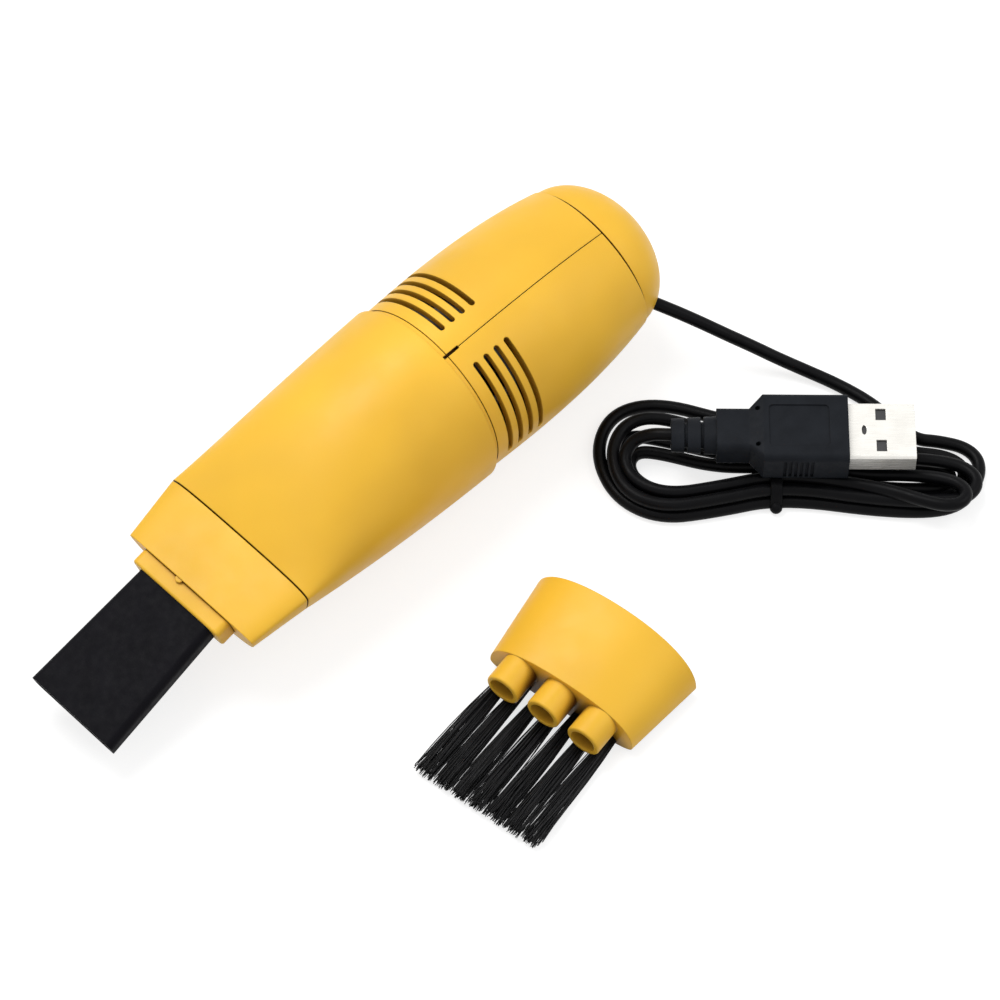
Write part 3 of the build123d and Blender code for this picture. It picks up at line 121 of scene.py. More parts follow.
# ---- the tie round the near bundle: places across the hank and heights above the table ----
NEAR_STRAND = -0.0090    # centre line of the bundle's outermost strand
FAR_STRAND = -0.0036     # and of its innermost one
TIE_CREST = (-0.0066, -0.0046)      # where the tie lies flat on the upper strands
TIE_SLOPE = 0.0012       # how far in from its near side it comes up to the crest
TIE_NEAR_SHOULDER = 0.0020
TIE_FAR_SHOULDER = 0.0024
TIE_FOOT = 0.0006        # where it turns under the strands
TIE_SOLE = 0.0004        # its middle, under them
TIE_ROUNDNESS = 2        # bevel resolution
KNOT_RADIUS = 0.0012
KNOT_PROUD = 0.0005      # how far the knot's middle stands out from the strands
KNOT_HEIGHT = 0.0013

# ---- the bristles, in the brush head's own frame ----
TUFT_FACE_X = -0.0170    # face of the head that the tufts leave
TUFT_ROOT_Z = 0.0016
TUFT_TIP_Z = 0.0018
TUFT_HALF_HEIGHT = 0.0016
TUFT_FAN = 0.04          # share by which the tips spread from the head's middle
BRISTLE_SUNK = 0.0008    # how far behind the face a bristle starts
BRISTLE_STRAY = 0.0004   # usual sideways stray of its tip
BRISTLE_BOW = 0.0003     # usual bow at half its length
BRISTLE_STEPS = 5        # straight parts of a bristle
BRISTLE_POINT = 0.7      # thickness of its tip, against the rest
BRISTLE_SEED = 7         # of the random draws

# ---- the stage ----
TABLE_SIZE = 2.0
TABLE_GLOW = 0.75        # light that the table shows the camera and mirrors, and doesn't throw on the pieces
LAMPS = (                # name, place, diameter and watts
    ("key_lamp", (0.02, 0.36, 0.78), 0.5, 3.8),
    ("fill_lamp", (0.45, -0.40, 0.60), 0.6, 1.2),
)
SENSOR_WIDTH = 36.0      # in millimetres
CLIP_START = 0.05
CLIP_END = 20.0

# ---- sockets of a Mix node that carry colours ----
MIX_COLOURS = (6, 7)
MIX_RESULT = 2


# ---------------------------------------------------------------- settings

class ShellSettings(bpy.types.PropertyGroup):
    colour: bpy.props.FloatVectorProperty(
        name="Plastic", description="Colour of the housing and the brush head", subtype="COLOR",
        size=3, min=0, max=1, default=(0.965, 0.545, 0.044))
    # Painted shade: the colour the plastic is given in its slots, seams and bores, where ambient occlusion
    # finds them.
    painted_shade_colour: bpy.props.FloatVectorProperty(
        name="Shade", description="Colour that the plastic takes in its hollows", subtype="COLOR",
        size=3, min=0, max=1, default=(0.100, 0.032, 0.003))
    roughness: bpy.props.FloatProperty(
        name="Roughness", description="How dull the moulded surface is", min=0, max=1, default=0.42)
    grain: bpy.props.FloatProperty(
        name="Grain", description="Size of the moulded grain", unit="LENGTH", default=0.00035)
    edge: bpy.props.FloatProperty(
        name="Edge", description="Radius of the moulded edges", unit="LENGTH", default=0.0003)
    black: bpy.props.FloatVectorProperty(
        name="Nozzle", description="Colour of the crevice nozzle", subtype="COLOR",
        size=3, min=0, max=1, default=(0.0030, 0.0028, 0.0042))


class CordSettings(bpy.types.PropertyGroup):
    diameter: bpy.props.FloatProperty(
        name="Diameter", description="Thickness of the cord", unit="LENGTH", default=0.00244)
    length: bpy.props.FloatProperty(
        name="Length", description="Whole length of the cord, hank included", unit="LENGTH", default=0.73)
    colour: bpy.props.FloatVectorProperty(
        name="Colour", description="Colour of the cord's jacket", subtype="COLOR",
        size=3, min=0, max=1, default=(0.0018, 0.0018, 0.0023))
    tie_width: bpy.props.FloatProperty(
        name="Tie width", description="Width of the tie round the hank", unit="LENGTH", default=0.0022)
    tie_thickness: bpy.props.FloatProperty(
        name="Tie thickness", description="Thickness of the tie", unit="LENGTH", default=0.0006)
    tie_along: bpy.props.FloatProperty(
        name="Tie place", description="Place of the tie along the plug, from the overmould's end",
        unit="LENGTH", default=-0.0130)


class BristleSettings(bpy.types.PropertyGroup):
    tufts: bpy.props.IntProperty(name="Tufts", description="Tufts in the brush head", min=1, default=7)
    per_tuft: bpy.props.IntProperty(name="Bristles", description="Bristles in one tuft", min=1, default=110)
    pitch: bpy.props.FloatProperty(
        name="Pitch", description="Distance between two tufts", unit="LENGTH", default=0.0037)
    length: bpy.props.FloatProperty(
        name="Length", description="Free length of a bristle", unit="LENGTH", default=0.0266)
    diameter: bpy.props.FloatProperty(
        name="Diameter", description="Thickness of a bristle", unit="LENGTH", default=0.00020)
    root: bpy.props.FloatProperty(
        name="Root", description="Radius of a tuft where it leaves the head", unit="LENGTH", default=0.0010)
    tip: bpy.props.FloatProperty(
        name="Tip", description="Half width of a tuft at its tip", unit="LENGTH", default=0.00185)
    ragged: bpy.props.FloatProperty(
        name="Ragged", description="How much the bristles differ in length", unit="LENGTH", default=0.0016)
    colour: bpy.props.FloatVectorProperty(
        name="Colour", description="Colour of the bristles", subtype="COLOR",
        size=3, min=0, max=1, default=(0.0040, 0.0040, 0.0046))


class StageSettings(bpy.types.PropertyGroup):
    azimuth: bpy.props.FloatProperty(
        name="Azimuth", description="Camera's place round the object, 0 looks along +Y", subtype="ANGLE",
        default=math.radians(-44.9))
    elevation: bpy.props.FloatProperty(
        name="Elevation", description="Camera's height above the horizon", subtype="ANGLE",
        default=math.radians(57.74))
    distance: bpy.props.FloatProperty(
        name="Distance", description="Camera to the point that it looks at", unit="LENGTH", default=0.831)
    target: bpy.props.FloatVectorProperty(
        name="Target", description="Point on the table that the camera looks at", subtype="XYZ",
        unit="LENGTH", size=3, default=(0.01886, 0.00988, 0.0))
    lens: bpy.props.FloatProperty(
        name="Lens", description="Focal length of the camera", subtype="DISTANCE_CAMERA", default=162.5)
    sky: bpy.props.FloatProperty(
        name="Sky", description="Strength of the even light from all sides", min=0, default=0.52)
    floor_colour: bpy.props.FloatVectorProperty(
        name="Floor", description="Colour of the table top", subtype="COLOR",
        size=3, min=0, max=1, default=(0.42, 0.42, 0.42))


class MiniVacuumSettings(bpy.types.PropertyGroup):
    shell: bpy.props.PointerProperty(type=ShellSettings)
    cord: bpy.props.PointerProperty(type=CordSettings)
    bristle: bpy.props.PointerProperty(type=BristleSettings)
    stage: bpy.props.PointerProperty(type=StageSettings)


# ---------------------------------------------------------------- materials

def feed(tree, socket, value):
    """Links value to the socket where it is an output, and writes it there otherwise."""
    if isinstance(value, bpy.types.NodeSocket):
        tree.links.new(value, socket)
    else:
        socket.default_value = value


def calculated(tree, operation, first, second):
    """Output of a Math node."""
    node = tree.nodes.new("ShaderNodeMath")
    node.operation = operation
    feed(tree, node.inputs[0], first)
    feed(tree, node.inputs[1], second)
    return node.outputs[0]


def shaded(colour, factor, lift=0.0):
    """Colour made paler or darker by a factor, and lifted off black."""
    return tuple(min(1.0, part * factor + lift) for part in colour)


class Finish:
    """A node material around one Principled shader, patterned on Object coordinates."""

    def __init__(self, name, colour, roughness, metallic=0.0, **inputs):
        self.material = bpy.data.materials.new(name)
        self.material.use_nodes = True
        self.tree = self.material.node_tree
        self.shader = self.tree.nodes["Principled BSDF"]
        self.coordinates = self.node("ShaderNodeTexCoord").outputs["Object"]
        self.set(self.shader, "Base Color", (*colour, 1.0))
        self.set(self.shader, "Roughness", roughness)
        self.set(self.shader, "Metallic", metallic)
        for socket, value in inputs.items():
            self.set(self.shader, socket.replace("_", " "), value)

    def node(self, kind, **values):
        made = self.tree.nodes.new(kind)
        for name, value in values.items():
            setattr(made, name, value)
        return made

    def set(self, node, socket, value):
        feed(self.tree, node.inputs[socket], value)

    def mapped(self, scale=(1, 1, 1), turn=(0, 0, 0), vector=None):
        """Coordinates, or vector, stretched where scale is small and then turned."""
        mapping = self.node("ShaderNodeMapping")
        self.set(mapping, "Vector", vector or self.coordinates)
        self.set(mapping, "Scale", scale)
        self.set(mapping, "Rotation", turn)
        return mapping.outputs["Vector"]

    def noise(self, size, detail=3.0, roughness=0.5, vector=None):
        """Noise whose spots are about size across."""
        noise = self.node("ShaderNodeTexNoise")
        self.set(noise, "Vector", vector or self.coordinates)
        self.set(noise, "Scale", 1.0 / size)
        self.set(noise, "Detail", detail)
        self.set(noise, "Roughness", roughness)
        return noise.outputs["Fac"]

    def threads(self, scale, distortion, turn=(0, 0, 0)):
        """Fine parallel waves."""
        wave = self.node("ShaderNodeTexWave")
        self.set(wave, "Vector", self.mapped(turn=turn))
        self.set(wave, "Scale", scale)
        self.set(wave, "Distortion", distortion)
        return wave.outputs["Fac"]

    def spread(self, value, low=0.0, high=1.0, start=0.3, end=0.7):
        """Value from a texture, laid between two levels."""
        ranged = self.node("ShaderNodeMapRange")
        self.set(ranged, "Value", value)
        self.set(ranged, "From Min", start)
        self.set(ranged, "From Max", end)
        self.set(ranged, "To Min", low)
        self.set(ranged, "To Max", high)
        return ranged.outputs["Result"]

    def mix(self, factor, first, second):
        """Colour between two colours, which are outputs or plain colours."""
        mix = self.node("ShaderNodeMix", data_type="RGBA")
        self.set(mix, "Factor", factor)
        for socket, value in zip(MIX_COLOURS, (first, second)):
            plain = not isinstance(value, bpy.types.NodeSocket)
            self.set(mix, socket, (*value, 1.0) if plain else value)
        return mix.outputs[MIX_RESULT]

    def bump(self, height, depth, normal=None):
        """Relief whose hills are about depth high."""
        bump = self.node("ShaderNodeBump")
        self.set(bump, "Height", height)
        self.set(bump, "Distance", depth)
        if normal is not None:
            self.set(bump, "Normal", normal)
        return bump.outputs["Normal"]

    def rounded(self, radius):
        """Normal that rounds the edges by radius."""
        bevel = self.node("ShaderNodeBevel", samples=6)
        self.set(bevel, "Radius", radius)
        return bevel.outputs["Normal"]

    def hollows(self, reach):
        """Ambient occlusion, 1 in the open and 0 deep in a slot or seam, used as the mask of painted shade.
        """
        hollow = self.node("ShaderNodeAmbientOcclusion", samples=12)
        self.set(hollow, "Distance", reach)
        return hollow.outputs["AO"]

    def finish(self, **sockets):
        for socket, value in sockets.items():
            self.set(self.shader, socket.replace("_", " "), value)
        return self.material


def moulded_yellow(name, shell, reach):
    """Satin moulded plastic with painted shade in slots, seams and bores up to reach wide, and a faint
    cloudiness.
    """
    finish = Finish(name, shell.colour, shell.roughness, Specular_IOR_Level=0.28,
                    Subsurface_Weight=0.06, Subsurface_Scale=0.0012, Subsurface_Radius=(1.0, 0.55, 0.1))
    cloud = finish.noise(size=0.022, detail=2.0)
    plain = finish.mix(finish.spread(cloud), shaded(shell.colour, 0.90), shaded(shell.colour, 1.05))
    # Painted shade: slots, seams and bores turn to the shade colour where ambient occlusion finds them.
    clear_of_painted_shade = finish.spread(finish.hollows(reach), start=0.28, end=0.72)
    colour = finish.mix(clear_of_painted_shade, shell.painted_shade_colour, plain)
    grain = finish.noise(shell.grain, detail=4.0, roughness=0.6)
    ripple = finish.noise(size=0.007, detail=1.0)
    relief = finish.bump(ripple, depth=0.00006, normal=finish.rounded(shell.edge))
    relief = finish.bump(grain, depth=0.000012, normal=relief)
    stains = finish.noise(size=0.004, detail=5.0)
    dull = finish.spread(stains, shell.roughness - 0.05, shell.roughness + 0.07)
    return finish.finish(Base_Color=colour, Roughness=dull, Normal=relief)


def moulded_black(name, colour, roughness, grain=0.0003, depth=0.00002):
    """Dull black plastic or rubber with a fine grain, a little paler in spots."""
    finish = Finish(name, colour, roughness, Specular_IOR_Level=0.06)
    spots = finish.noise(size=0.004, detail=4.0)
    tinted = finish.mix(finish.spread(spots, high=0.8), colour, shaded(colour, 1.5, lift=0.001))
    relief = finish.bump(finish.noise(grain), depth, finish.rounded(radius=0.00025))
    dull = finish.spread(finish.noise(size=0.0015), roughness - 0.07, roughness + 0.09)
    return finish.finish(Base_Color=tinted, Roughness=dull, Normal=relief)


def nickel_plate():
    """Bright plated sheet with faint drawing marks along the plug."""
    finish = Finish("nickel_plate", (0.90, 0.885, 0.855), roughness=0.30, metallic=0.45)
    along = finish.mapped(turn=(0, 0, -PLUG_TURN))
    stretched = finish.mapped(scale=(0.03, 1.0, 1.0), vector=along)
    marks = finish.noise(size=0.00012, vector=stretched)
    cloud = finish.noise(size=0.003)
    colour = finish.mix(finish.spread(cloud), (0.87, 0.85, 0.80), (0.96, 0.94, 0.89))
    relief = finish.bump(marks, depth=0.000002, normal=finish.rounded(radius=0.00012))
    dull = finish.spread(marks, low=0.18, high=0.32)
    return finish.finish(Base_Color=colour, Roughness=dull, Normal=relief)


def bare_metal(name, colour, roughness):
    """Plain metal with slight stains and fine turning marks."""
    finish = Finish(name, colour, roughness, metallic=1.0)
    stains = finish.noise(size=0.002, detail=5.0)
    tinted = finish.mix(finish.spread(stains), shaded(colour, 0.78), colour)
    marks = finish.noise(size=0.0002, detail=2.0, vector=finish.mapped(scale=(1.0, 0.1, 0.1)))
    relief = finish.bump(marks, depth=0.000004, normal=finish.rounded(radius=0.0001))
    dull = finish.spread(stains, roughness + 0.08, roughness - 0.04)
    return finish.finish(Base_Color=tinted, Roughness=dull, Normal=relief)


def plain_plastic(name, colour, roughness=0.4):
    """Small moulded parts: even colour with a slight cloud and soft edges."""
    finish = Finish(name, colour, roughness)
    cloud = finish.noise(size=0.005)
    tinted = finish.mix(finish.spread(cloud), shaded(colour, 0.88), colour)
    relief = finish.bump(finish.noise(size=0.0003), depth=0.00001, normal=finish.rounded(radius=0.00015))
    dull = finish.spread(cloud, roughness - 0.05, roughness + 0.08)
    return finish.finish(Base_Color=tinted, Roughness=dull, Normal=relief)


def filter_cloth():
    """Pale felted cloth: crossed fine threads over soft lumps."""
    finish = Finish("filter_cloth", (0.80, 0.79, 0.75), roughness=0.9,
                    Sheen_Weight=0.3, Sheen_Roughness=0.5)
    warp, weft = (finish.threads(scale=700.0, distortion=1.5, turn=turn)
                  for turn in ((0, 0, 0), (math.radians(90), 0, math.radians(90))))
    thread = finish.mix(0.5, warp, weft)
    felt = finish.noise(size=0.0005, detail=6.0)
    colour = finish.mix(finish.spread(felt), (0.60, 0.585, 0.54), (0.86, 0.85, 0.81))
    relief = finish.bump(thread, depth=0.00006)
    relief = finish.bump(felt, depth=0.00012, normal=relief)
    return finish.finish(Base_Color=colour, Normal=relief)


def copper_coil():
    """Enamelled copper wire in close turns."""
    finish = Finish("copper_coil", (0.72, 0.28, 0.12), roughness=0.28, metallic=1.0)
    turns = finish.threads(scale=900.0, distortion=0.6, turn=(0, math.radians(90), 0))
    colour = finish.mix(turns, (0.36, 0.10, 0.035), (0.80, 0.34, 0.15))
    return finish.finish(Base_Color=colour, Normal=finish.bump(turns, depth=0.00012))


def cord_jacket(name, colour):
    """Soft jacket of a cord or wire: slight waxy gloss over a fine grain."""
    finish = Finish(name, colour, roughness=0.32, Specular_IOR_Level=0.08)
    spots = finish.noise(size=0.006)
    tinted = finish.mix(finish.spread(spots), colour, shaded(colour, 1.6, lift=0.001))
    relief = finish.bump(finish.noise(size=0.0004, detail=4.0), depth=0.00002)
    dull = finish.spread(finish.noise(size=0.002), low=0.30, high=0.46)
    return finish.finish(Base_Color=tinted, Roughness=dull, Normal=relief)


def bristle_nylon(colour):
    """Glossy black monofilament, a little paler from bristle to bristle."""
    finish = Finish("bristle_nylon", colour, roughness=0.38, Specular_IOR_Level=0.22)
    shade = finish.node("ShaderNodeAttribute", attribute_name="bristle_shade")
    tinted = finish.mix(shade.outputs["Fac"], colour, shaded(colour, 3.0, lift=0.004))
    relief = finish.bump(finish.noise(size=0.0002, detail=2.0), depth=0.00001)
    return finish.finish(Base_Color=tinted, Normal=relief)


def dress(nodes, material):
    """Gives CAD nodes a finish in all their material slots."""
    for name in nodes:
        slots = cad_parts[name].data.materials
        if not slots:
            slots.append(material)
        for index in range(len(slots)):
            slots[index] = material


# ---------------------------------------------------------------- shapes

def in_brush(x, y, z):
    """Point of the brush head's own frame, which points back along +X."""
    return BRUSH_ORIGIN + Matrix.Rotation(BRUSH_TURN, 3, "Z") @ Vector((x, y, z))


def on_hank(along, across, height):
    """Point in the plug's directions: along it from the overmould's end, across it and up."""
    return PLUG_ORIGIN + Matrix.Rotation(PLUG_TURN, 3, "Z") @ Vector((along, across, height))


def place(piece, body):
    """Links a finished piece to the scene and lets it ride."""
    bpy.context.scene.collection.objects.link(piece)
    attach(piece, body)


def smooth_shaded(mesh):
    for face in mesh.polygons:
        face.use_smooth = True


def round_curve(name, radius, roundness):
    """Curve without splines yet, of a round section."""
    curve = bpy.data.curves.new(name, "CURVE")
    curve.dimensions = "3D"
    curve.bevel_depth = radius
    curve.bevel_resolution = roundness
    return curve


def add_route(curve, spots):
    """Smooth spline along control points."""
    spline = curve.splines.new("NURBS")
    spline.points.add(len(spots) - 1)
    for point, spot in zip(spline.points, spots):
        point.co = (*spot, 1.0)
    spline.order_u = SPLINE_ORDER
    return spline


def mesh_of(curve, name):
    """Mesh of a curve, in the curve's place."""
    curve_object = bpy.data.objects.new(curve.name, curve)
    bpy.context.scene.collection.objects.link(curve_object)
    bpy.context.view_layer.update()
    depsgraph = bpy.context.evaluated_depsgraph_get()
    mesh = bpy.data.meshes.new_from_object(curve_object.evaluated_get(depsgraph))
    bpy.data.objects.remove(curve_object)
    mesh.name = name
    return mesh


def cord_route():
    """Control points of the whole cord, from the end cap to the plug."""
    hank = [on_hank(*point) for turn in (*TURNS, PLUG_END_POINTS) for point in turn]
    return [Vector(point) for point in LEAD_POINTS] + hank


# ---------------------------------------------------------------- operators

class VACUUM_OT_finish_shells(bpy.types.Operator):
    """Give the housing, nozzle and brush head their moulded plastics"""
    bl_idname = "vacuum.finish_shells"
    bl_label = "Finish Shells"

    def execute(self, context):
        shell = context.scene.mini_vacuum.shell
        # Painted shade reaches 2.2 mm into the body's slots and seams, and 5 mm into the brush head's bores
        # and the joints of its tubes.
        dress(("front_housing", "head_shell", "nozzle_collar", "rear_shell_left", "rear_shell_right",
               "end_cap", "fan_shroud"), moulded_yellow("moulded_yellow", shell, reach=0.0022))
        dress(("brush_head_shell",), moulded_yellow("brush_yellow", shell, reach=0.0050))
        dress(("crevice_nozzle",), moulded_black("nozzle_black", shell.black, 0.50))
        dress(("switch_knob",), moulded_black("switch_black", (0.012, 0.012, 0.013), 0.42))
        dress(("cup_seal", "cord_grommet"), moulded_black("seal_rubber", (0.014, 0.014, 0.014), 0.62))
        return {"FINISHED"}


class VACUUM_OT_finish_works(bpy.types.Operator):
    """Give the filter, fan, motor, switch and wires their finishes"""
    bl_idname = "vacuum.finish_works"
    bl_label = "Finish Works"

    def execute(self, context):
        dress(("filter_frame",), plain_plastic("filter_plastic", (0.78, 0.77, 0.73)))
        dress(("filter_bag",), filter_cloth())
        # Impeller, motor mount and motor can have their own plastic and steel colours made much darker. This
        # is painted shade deep inside the vent slots.
        dress(("impeller",), plain_plastic("fan_plastic", (0.06, 0.058, 0.055), 0.45))
        dress(("motor_mount",), plain_plastic("mount_plastic_painted_shade", (0.16, 0.07, 0.012)))
        dress(("motor_can",), bare_metal("can_steel_painted_shade", (0.16, 0.15, 0.15), 0.5))
        dress(("motor_magnets",), bare_metal("magnet_ferrite", (0.09, 0.09, 0.10), 0.6))
        dress(("motor_end_bell", "switch_body"), plain_plastic("bell_plastic", (0.035, 0.035, 0.035), 0.45))
        dress(("motor_bushes",), bare_metal("bush_bronze", (0.55, 0.36, 0.17), 0.35))
        dress(("motor_brushes",), bare_metal("brush_carbon", (0.05, 0.05, 0.05), 0.55))
        dress(("motor_terminals", "switch_terminals"), bare_metal("terminal_brass", (0.80, 0.74, 0.60), 0.3))
        dress(("motor_shaft", "rotor_core"), bare_metal("core_steel", (0.50, 0.50, 0.51), 0.38))
        dress(("shell_screws", "motor_screws"), bare_metal("screw_steel", (0.66, 0.65, 0.63), 0.28))
        dress(("rotor_windings",), copper_coil())
        dress(("commutator",), bare_metal("commutator_copper", (0.76, 0.36, 0.20), 0.25))
        dress(("wire_red",), cord_jacket("wire_red", (0.55, 0.02, 0.015)))
        dress(("wire_black", "wire_switch"), cord_jacket("wire_black", (0.012, 0.012, 0.013)))
        return {"FINISHED"}


class VACUUM_OT_finish_plug(bpy.types.Operator):
    """Give the USB plug its overmould, plated shell, tongue and contacts"""
    bl_idname = "vacuum.finish_plug"
    bl_label = "Finish Plug"

    def execute(self, context):
        dress(("plug_overmold",), moulded_black("mold_black", (0.0095, 0.0110, 0.0140), 0.50,
                                                grain=0.00035, depth=0.00003))
        dress(("plug_shell",), nickel_plate())
        dress(("plug_tongue",), plain_plastic("tongue_plastic", (0.030, 0.030, 0.032)))
        dress(("plug_contacts",), bare_metal("contact_gold", (0.95, 0.68, 0.30), 0.22))
        return {"FINISHED"}


class VACUUM_OT_lay_cord(bpy.types.Operator):
    """Lay the USB cord from the end cap through its hank to the plug"""
    bl_idname = "vacuum.lay_cord"
    bl_label = "Lay Cord"

    def execute(self, context):
        cord = context.scene.mini_vacuum.cord
        curve = round_curve("usb_cord", cord.diameter / 2, CORD_ROUNDNESS)
        curve.resolution_u = CORD_STEPS
        curve.use_fill_caps = True
        add_route(curve, cord_route()).use_endpoint_u = True
        piece = bpy.data.objects.new("usb_cord", curve)
        curve.materials.append(cord_jacket("cord_black", cord.colour))
        place(piece, "motor_unit")
        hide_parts("cord_lead", "cord_hank", "cord_plug_end")
        on_cord = [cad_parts[name]
                   for name in ("plug_overmold", "plug_shell", "plug_tongue", "plug_contacts")]
        on_cord.append(bpy.data.objects["hank_tie"])
        return {"FINISHED"}


class VACUUM_OT_tie_hank(bpy.types.Operator):
    """Put the band with its knot round the near side of the hank"""
    bl_idname = "vacuum.tie_hank"
    bl_label = "Tie Hank"

    def execute(self, context):
        cord = context.scene.mini_vacuum.cord
        near = NEAR_STRAND - cord.diameter / 2
        far = FAR_STRAND + cord.diameter / 2
        half = cord.tie_thickness / 2
        crest = ON_CORD + cord.diameter / 2 + half
        corners = ((near - half, TIE_FOOT), (near - half, TIE_NEAR_SHOULDER), (near + TIE_SLOPE, crest),
                   (TIE_CREST[0], crest), (TIE_CREST[1], crest), (far + half, TIE_FAR_SHOULDER),
                   (far + half, TIE_FOOT), (TIE_CREST[0], TIE_SOLE))
        curve = round_curve("tie_path", half, TIE_ROUNDNESS)
        curve.extrude = cord.tie_width / 2 - half
        add_route(curve, [(*corner, 0.0) for corner in corners]).use_cyclic_u = True
        band = mesh_of(curve, "hank_tie")
        upright = Matrix(((0, 0, 1, cord.tie_along), (1, 0, 0, 0), (0, 1, 0, 0), (0, 0, 0, 1)))
        band.transform(upright)
        tie = bmesh.new()
        tie.from_mesh(band)
        knot = Matrix.Translation((cord.tie_along, near - KNOT_PROUD, KNOT_HEIGHT))
        bmesh.ops.create_icosphere(tie, subdivisions=3, radius=KNOT_RADIUS, matrix=knot)
        turn = Matrix.Translation(PLUG_ORIGIN) @ Matrix.Rotation(PLUG_TURN, 4, "Z")
        bmesh.ops.transform(tie, matrix=turn, verts=tie.verts)
        bmesh.ops.recalc_face_normals(tie, faces=tie.faces)
        tie.to_mesh(band)
        tie.free()
        smooth_shaded(band)
        band.materials.append(moulded_black("tie_black", (0.0030, 0.0030, 0.0036), 0.42))
        piece = bpy.data.objects.new("hank_tie", band)
        place(piece, "motor_unit")
        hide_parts("cord_tie")
        return {"FINISHED"}


class VACUUM_OT_plant_bristles(bpy.types.Operator):
    """Fill the brush head with tufts of single bristles"""
    bl_idname = "vacuum.plant_bristles"
    bl_label = "Plant Bristles"

    def execute(self, context):
        bristle = context.scene.mini_vacuum.bristle
        dice = random.Random(BRISTLE_SEED)
        curve = round_curve("bristles", bristle.diameter / 2, roundness=0)
        for tuft in range(bristle.tufts):
            middle = (tuft - (bristle.tufts - 1) / 2) * bristle.pitch
            for _ in range(bristle.per_tuft):
                self.add_bristle(curve, bristle, middle, dice)
        mesh = mesh_of(curve, "brush_bristles")
        self.shade_bristles(mesh, bristle.tufts * bristle.per_tuft, dice)
        smooth_shaded(mesh)
        mesh.materials.append(bristle_nylon(bristle.colour))
        piece = bpy.data.objects.new("brush_bristles", mesh)
        place(piece, "brush")
        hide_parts("bristle_tufts")
        return {"FINISHED"}

    def add_bristle(self, curve, bristle, middle, dice):
        """Puts one bristle anywhere in the tuft whose middle is given."""
        angle = dice.uniform(0, 2 * math.pi)
        out = math.sqrt(dice.random())
        side, up = out * math.cos(angle), out * math.sin(angle)
        length = bristle.length - dice.random() ** 2 * bristle.ragged
        stray = dice.gauss(0, BRISTLE_STRAY)
        bow = dice.gauss(0, BRISTLE_BOW)
        spline = curve.splines.new("POLY")
        spline.points.add(BRISTLE_STEPS)
        for index, point in enumerate(spline.points):
            t = index / BRISTLE_STEPS
            wide = bristle.root + (bristle.tip - bristle.root) * t
            x = TUFT_FACE_X + BRISTLE_SUNK - t * length
            y = middle * (1 + TUFT_FAN * t) + side * wide + stray * t * t + bow * t * (1 - t) * 4
            z = TUFT_ROOT_Z + (TUFT_TIP_Z - TUFT_ROOT_Z) * t + up * min(wide, TUFT_HALF_HEIGHT)
            point.co = (*in_brush(x, y, max(z, bristle.diameter / 2)), 1.0)
            point.radius = BRISTLE_POINT if index == BRISTLE_STEPS else 1.0

    def shade_bristles(self, mesh, count, dice):
        """Gives each bristle its own shade, most of them a dark one."""
        shade = mesh.attributes.new("bristle_shade", "FLOAT", "POINT")
        per_bristle = len(mesh.vertices) // count
        for start in range(0, len(mesh.vertices), per_bristle):
            value = dice.random() ** 3
            for index in range(start, min(start + per_bristle, len(mesh.vertices))):
                shade.data[index].value = value


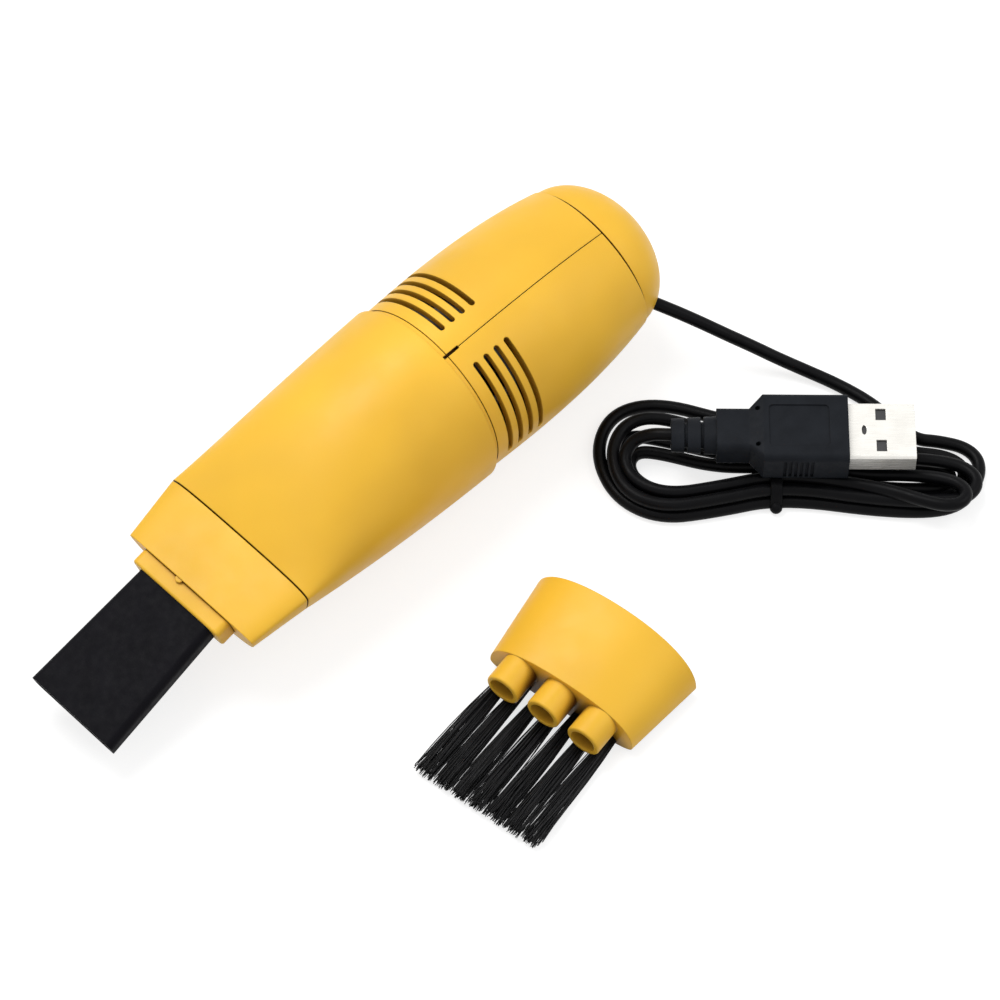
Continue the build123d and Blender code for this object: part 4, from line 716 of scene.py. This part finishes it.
class VACUUM_OT_set_stage(bpy.types.Operator):
    """Set up the table top, the soft lamps, the sky and the camera"""
    bl_idname = "vacuum.set_stage"
    bl_label = "Set Stage"

    def execute(self, context):
        stage = context.scene.mini_vacuum.stage
        self.lay_floor(context, stage)
        self.light_sky(context, stage)
        self.hang_lamps(context, stage)
        self.aim_camera(context, stage)
        context.scene.view_settings.view_transform = "Standard"
        return {"FINISHED"}

    def lay_floor(self, context, stage):
        sheet = bmesh.new()
        bmesh.ops.create_grid(sheet, x_segments=1, y_segments=1, size=TABLE_SIZE)
        mesh = bpy.data.meshes.new("table_top")
        sheet.to_mesh(mesh)
        sheet.free()
        table = bpy.data.objects.new("table_top", mesh)
        context.scene.collection.objects.link(table)
        finish = Finish("table_white", stage.floor_colour, roughness=0.9, Specular_IOR_Level=0.0)
        glow = calculated(finish.tree, "MULTIPLY", self.directly_seen(finish.tree), TABLE_GLOW)
        mesh.materials.append(finish.finish(Emission_Color=(1, 1, 1, 1), Emission_Strength=glow))

    def directly_seen(self, tree, *kinds):
        """1 for rays of the camera, of mirrors and of the kinds named, and 0 for the rest."""
        paths = tree.nodes.new("ShaderNodeLightPath").outputs
        seen = paths["Is Camera Ray"]
        for kind in ("Is Glossy Ray", *kinds):
            seen = calculated(tree, "MAXIMUM", seen, paths[kind])
        return seen

    def light_sky(self, context, stage):
        world = bpy.data.worlds.new("studio_sky")
        context.scene.world = world
        world.use_nodes = True
        nodes, links = world.node_tree.nodes, world.node_tree.links
        background = nodes["Background"]
        background.inputs["Color"].default_value = (1, 1, 1, 1)
        level = nodes.new("ShaderNodeMapRange")
        links.new(self.directly_seen(world.node_tree, "Is Transmission Ray"), level.inputs["Value"])
        level.inputs["To Min"].default_value = stage.sky
        level.inputs["To Max"].default_value = 1.0
        links.new(level.outputs["Result"], background.inputs["Strength"])

    def hang_lamps(self, context, stage):
        for name, spot, size, watts in LAMPS:
            lamp = bpy.data.lights.new(name, "AREA")
            lamp.shape = "DISK"
            lamp.size = size
            lamp.energy = watts
            holder = bpy.data.objects.new(name, lamp)
            context.scene.collection.objects.link(holder)
            holder.location = spot
            aim = Vector(stage.target) - Vector(spot)
            holder.rotation_euler = aim.to_track_quat("-Z", "Y").to_euler()

    def aim_camera(self, context, stage):
        data = bpy.data.cameras.new("camera")
        data.sensor_width = SENSOR_WIDTH
        data.lens = stage.lens
        data.clip_start = CLIP_START
        data.clip_end = CLIP_END
        camera = bpy.data.objects.new("camera", data)
        context.scene.collection.objects.link(camera)
        level = math.cos(stage.elevation)
        back = Vector((math.sin(stage.azimuth) * level, -math.cos(stage.azimuth) * level,
                       math.sin(stage.elevation)))
        camera.location = Vector(stage.target) + back * stage.distance
        camera.rotation_euler = (-back).to_track_quat("-Z", "Y").to_euler()
        context.scene.camera = camera


class VACUUM_PT_sidebar(bpy.types.Panel):
    """Sizes, colours and steps of the mini vacuum cleaner"""
    bl_label = "Mini Vacuum"
    bl_idname = "VACUUM_PT_sidebar"
    bl_space_type = "VIEW_3D"
    bl_region_type = "UI"
    bl_category = "Mini Vacuum"

    def draw(self, context):
        settings = context.scene.mini_vacuum
        for group, operators in (
                (settings.shell, ("vacuum.finish_shells", "vacuum.finish_works")),
                (settings.cord, ("vacuum.finish_plug", "vacuum.tie_hank", "vacuum.lay_cord")),
                (settings.bristle, ("vacuum.plant_bristles",)),
                (settings.stage, ("vacuum.set_stage",))):
            box = self.layout.box()
            for name in group.bl_rna.properties.keys():
                if name not in ("rna_type", "name"):
                    box.prop(group, name)
            for operator in operators:
                box.operator(operator)


CLASSES = (
    ShellSettings, CordSettings, BristleSettings, StageSettings, MiniVacuumSettings,
    VACUUM_OT_finish_shells, VACUUM_OT_finish_works, VACUUM_OT_finish_plug, VACUUM_OT_tie_hank,
    VACUUM_OT_lay_cord, VACUUM_OT_plant_bristles, VACUUM_OT_set_stage, VACUUM_PT_sidebar,
)


def register():
    for cls in CLASSES:
        bpy.utils.register_class(cls)
    bpy.types.Scene.mini_vacuum = bpy.props.PointerProperty(type=MiniVacuumSettings)


def unregister():
    del bpy.types.Scene.mini_vacuum
    for cls in reversed(CLASSES):
        bpy.utils.unregister_class(cls)


def main():
    register()
    bpy.ops.vacuum.finish_shells()
    bpy.ops.vacuum.finish_works()
    bpy.ops.vacuum.finish_plug()
    bpy.ops.vacuum.tie_hank()
    bpy.ops.vacuum.lay_cord()
    bpy.ops.vacuum.plant_bristles()
    bpy.ops.vacuum.set_stage()


if __name__ == "__main__":
    main()
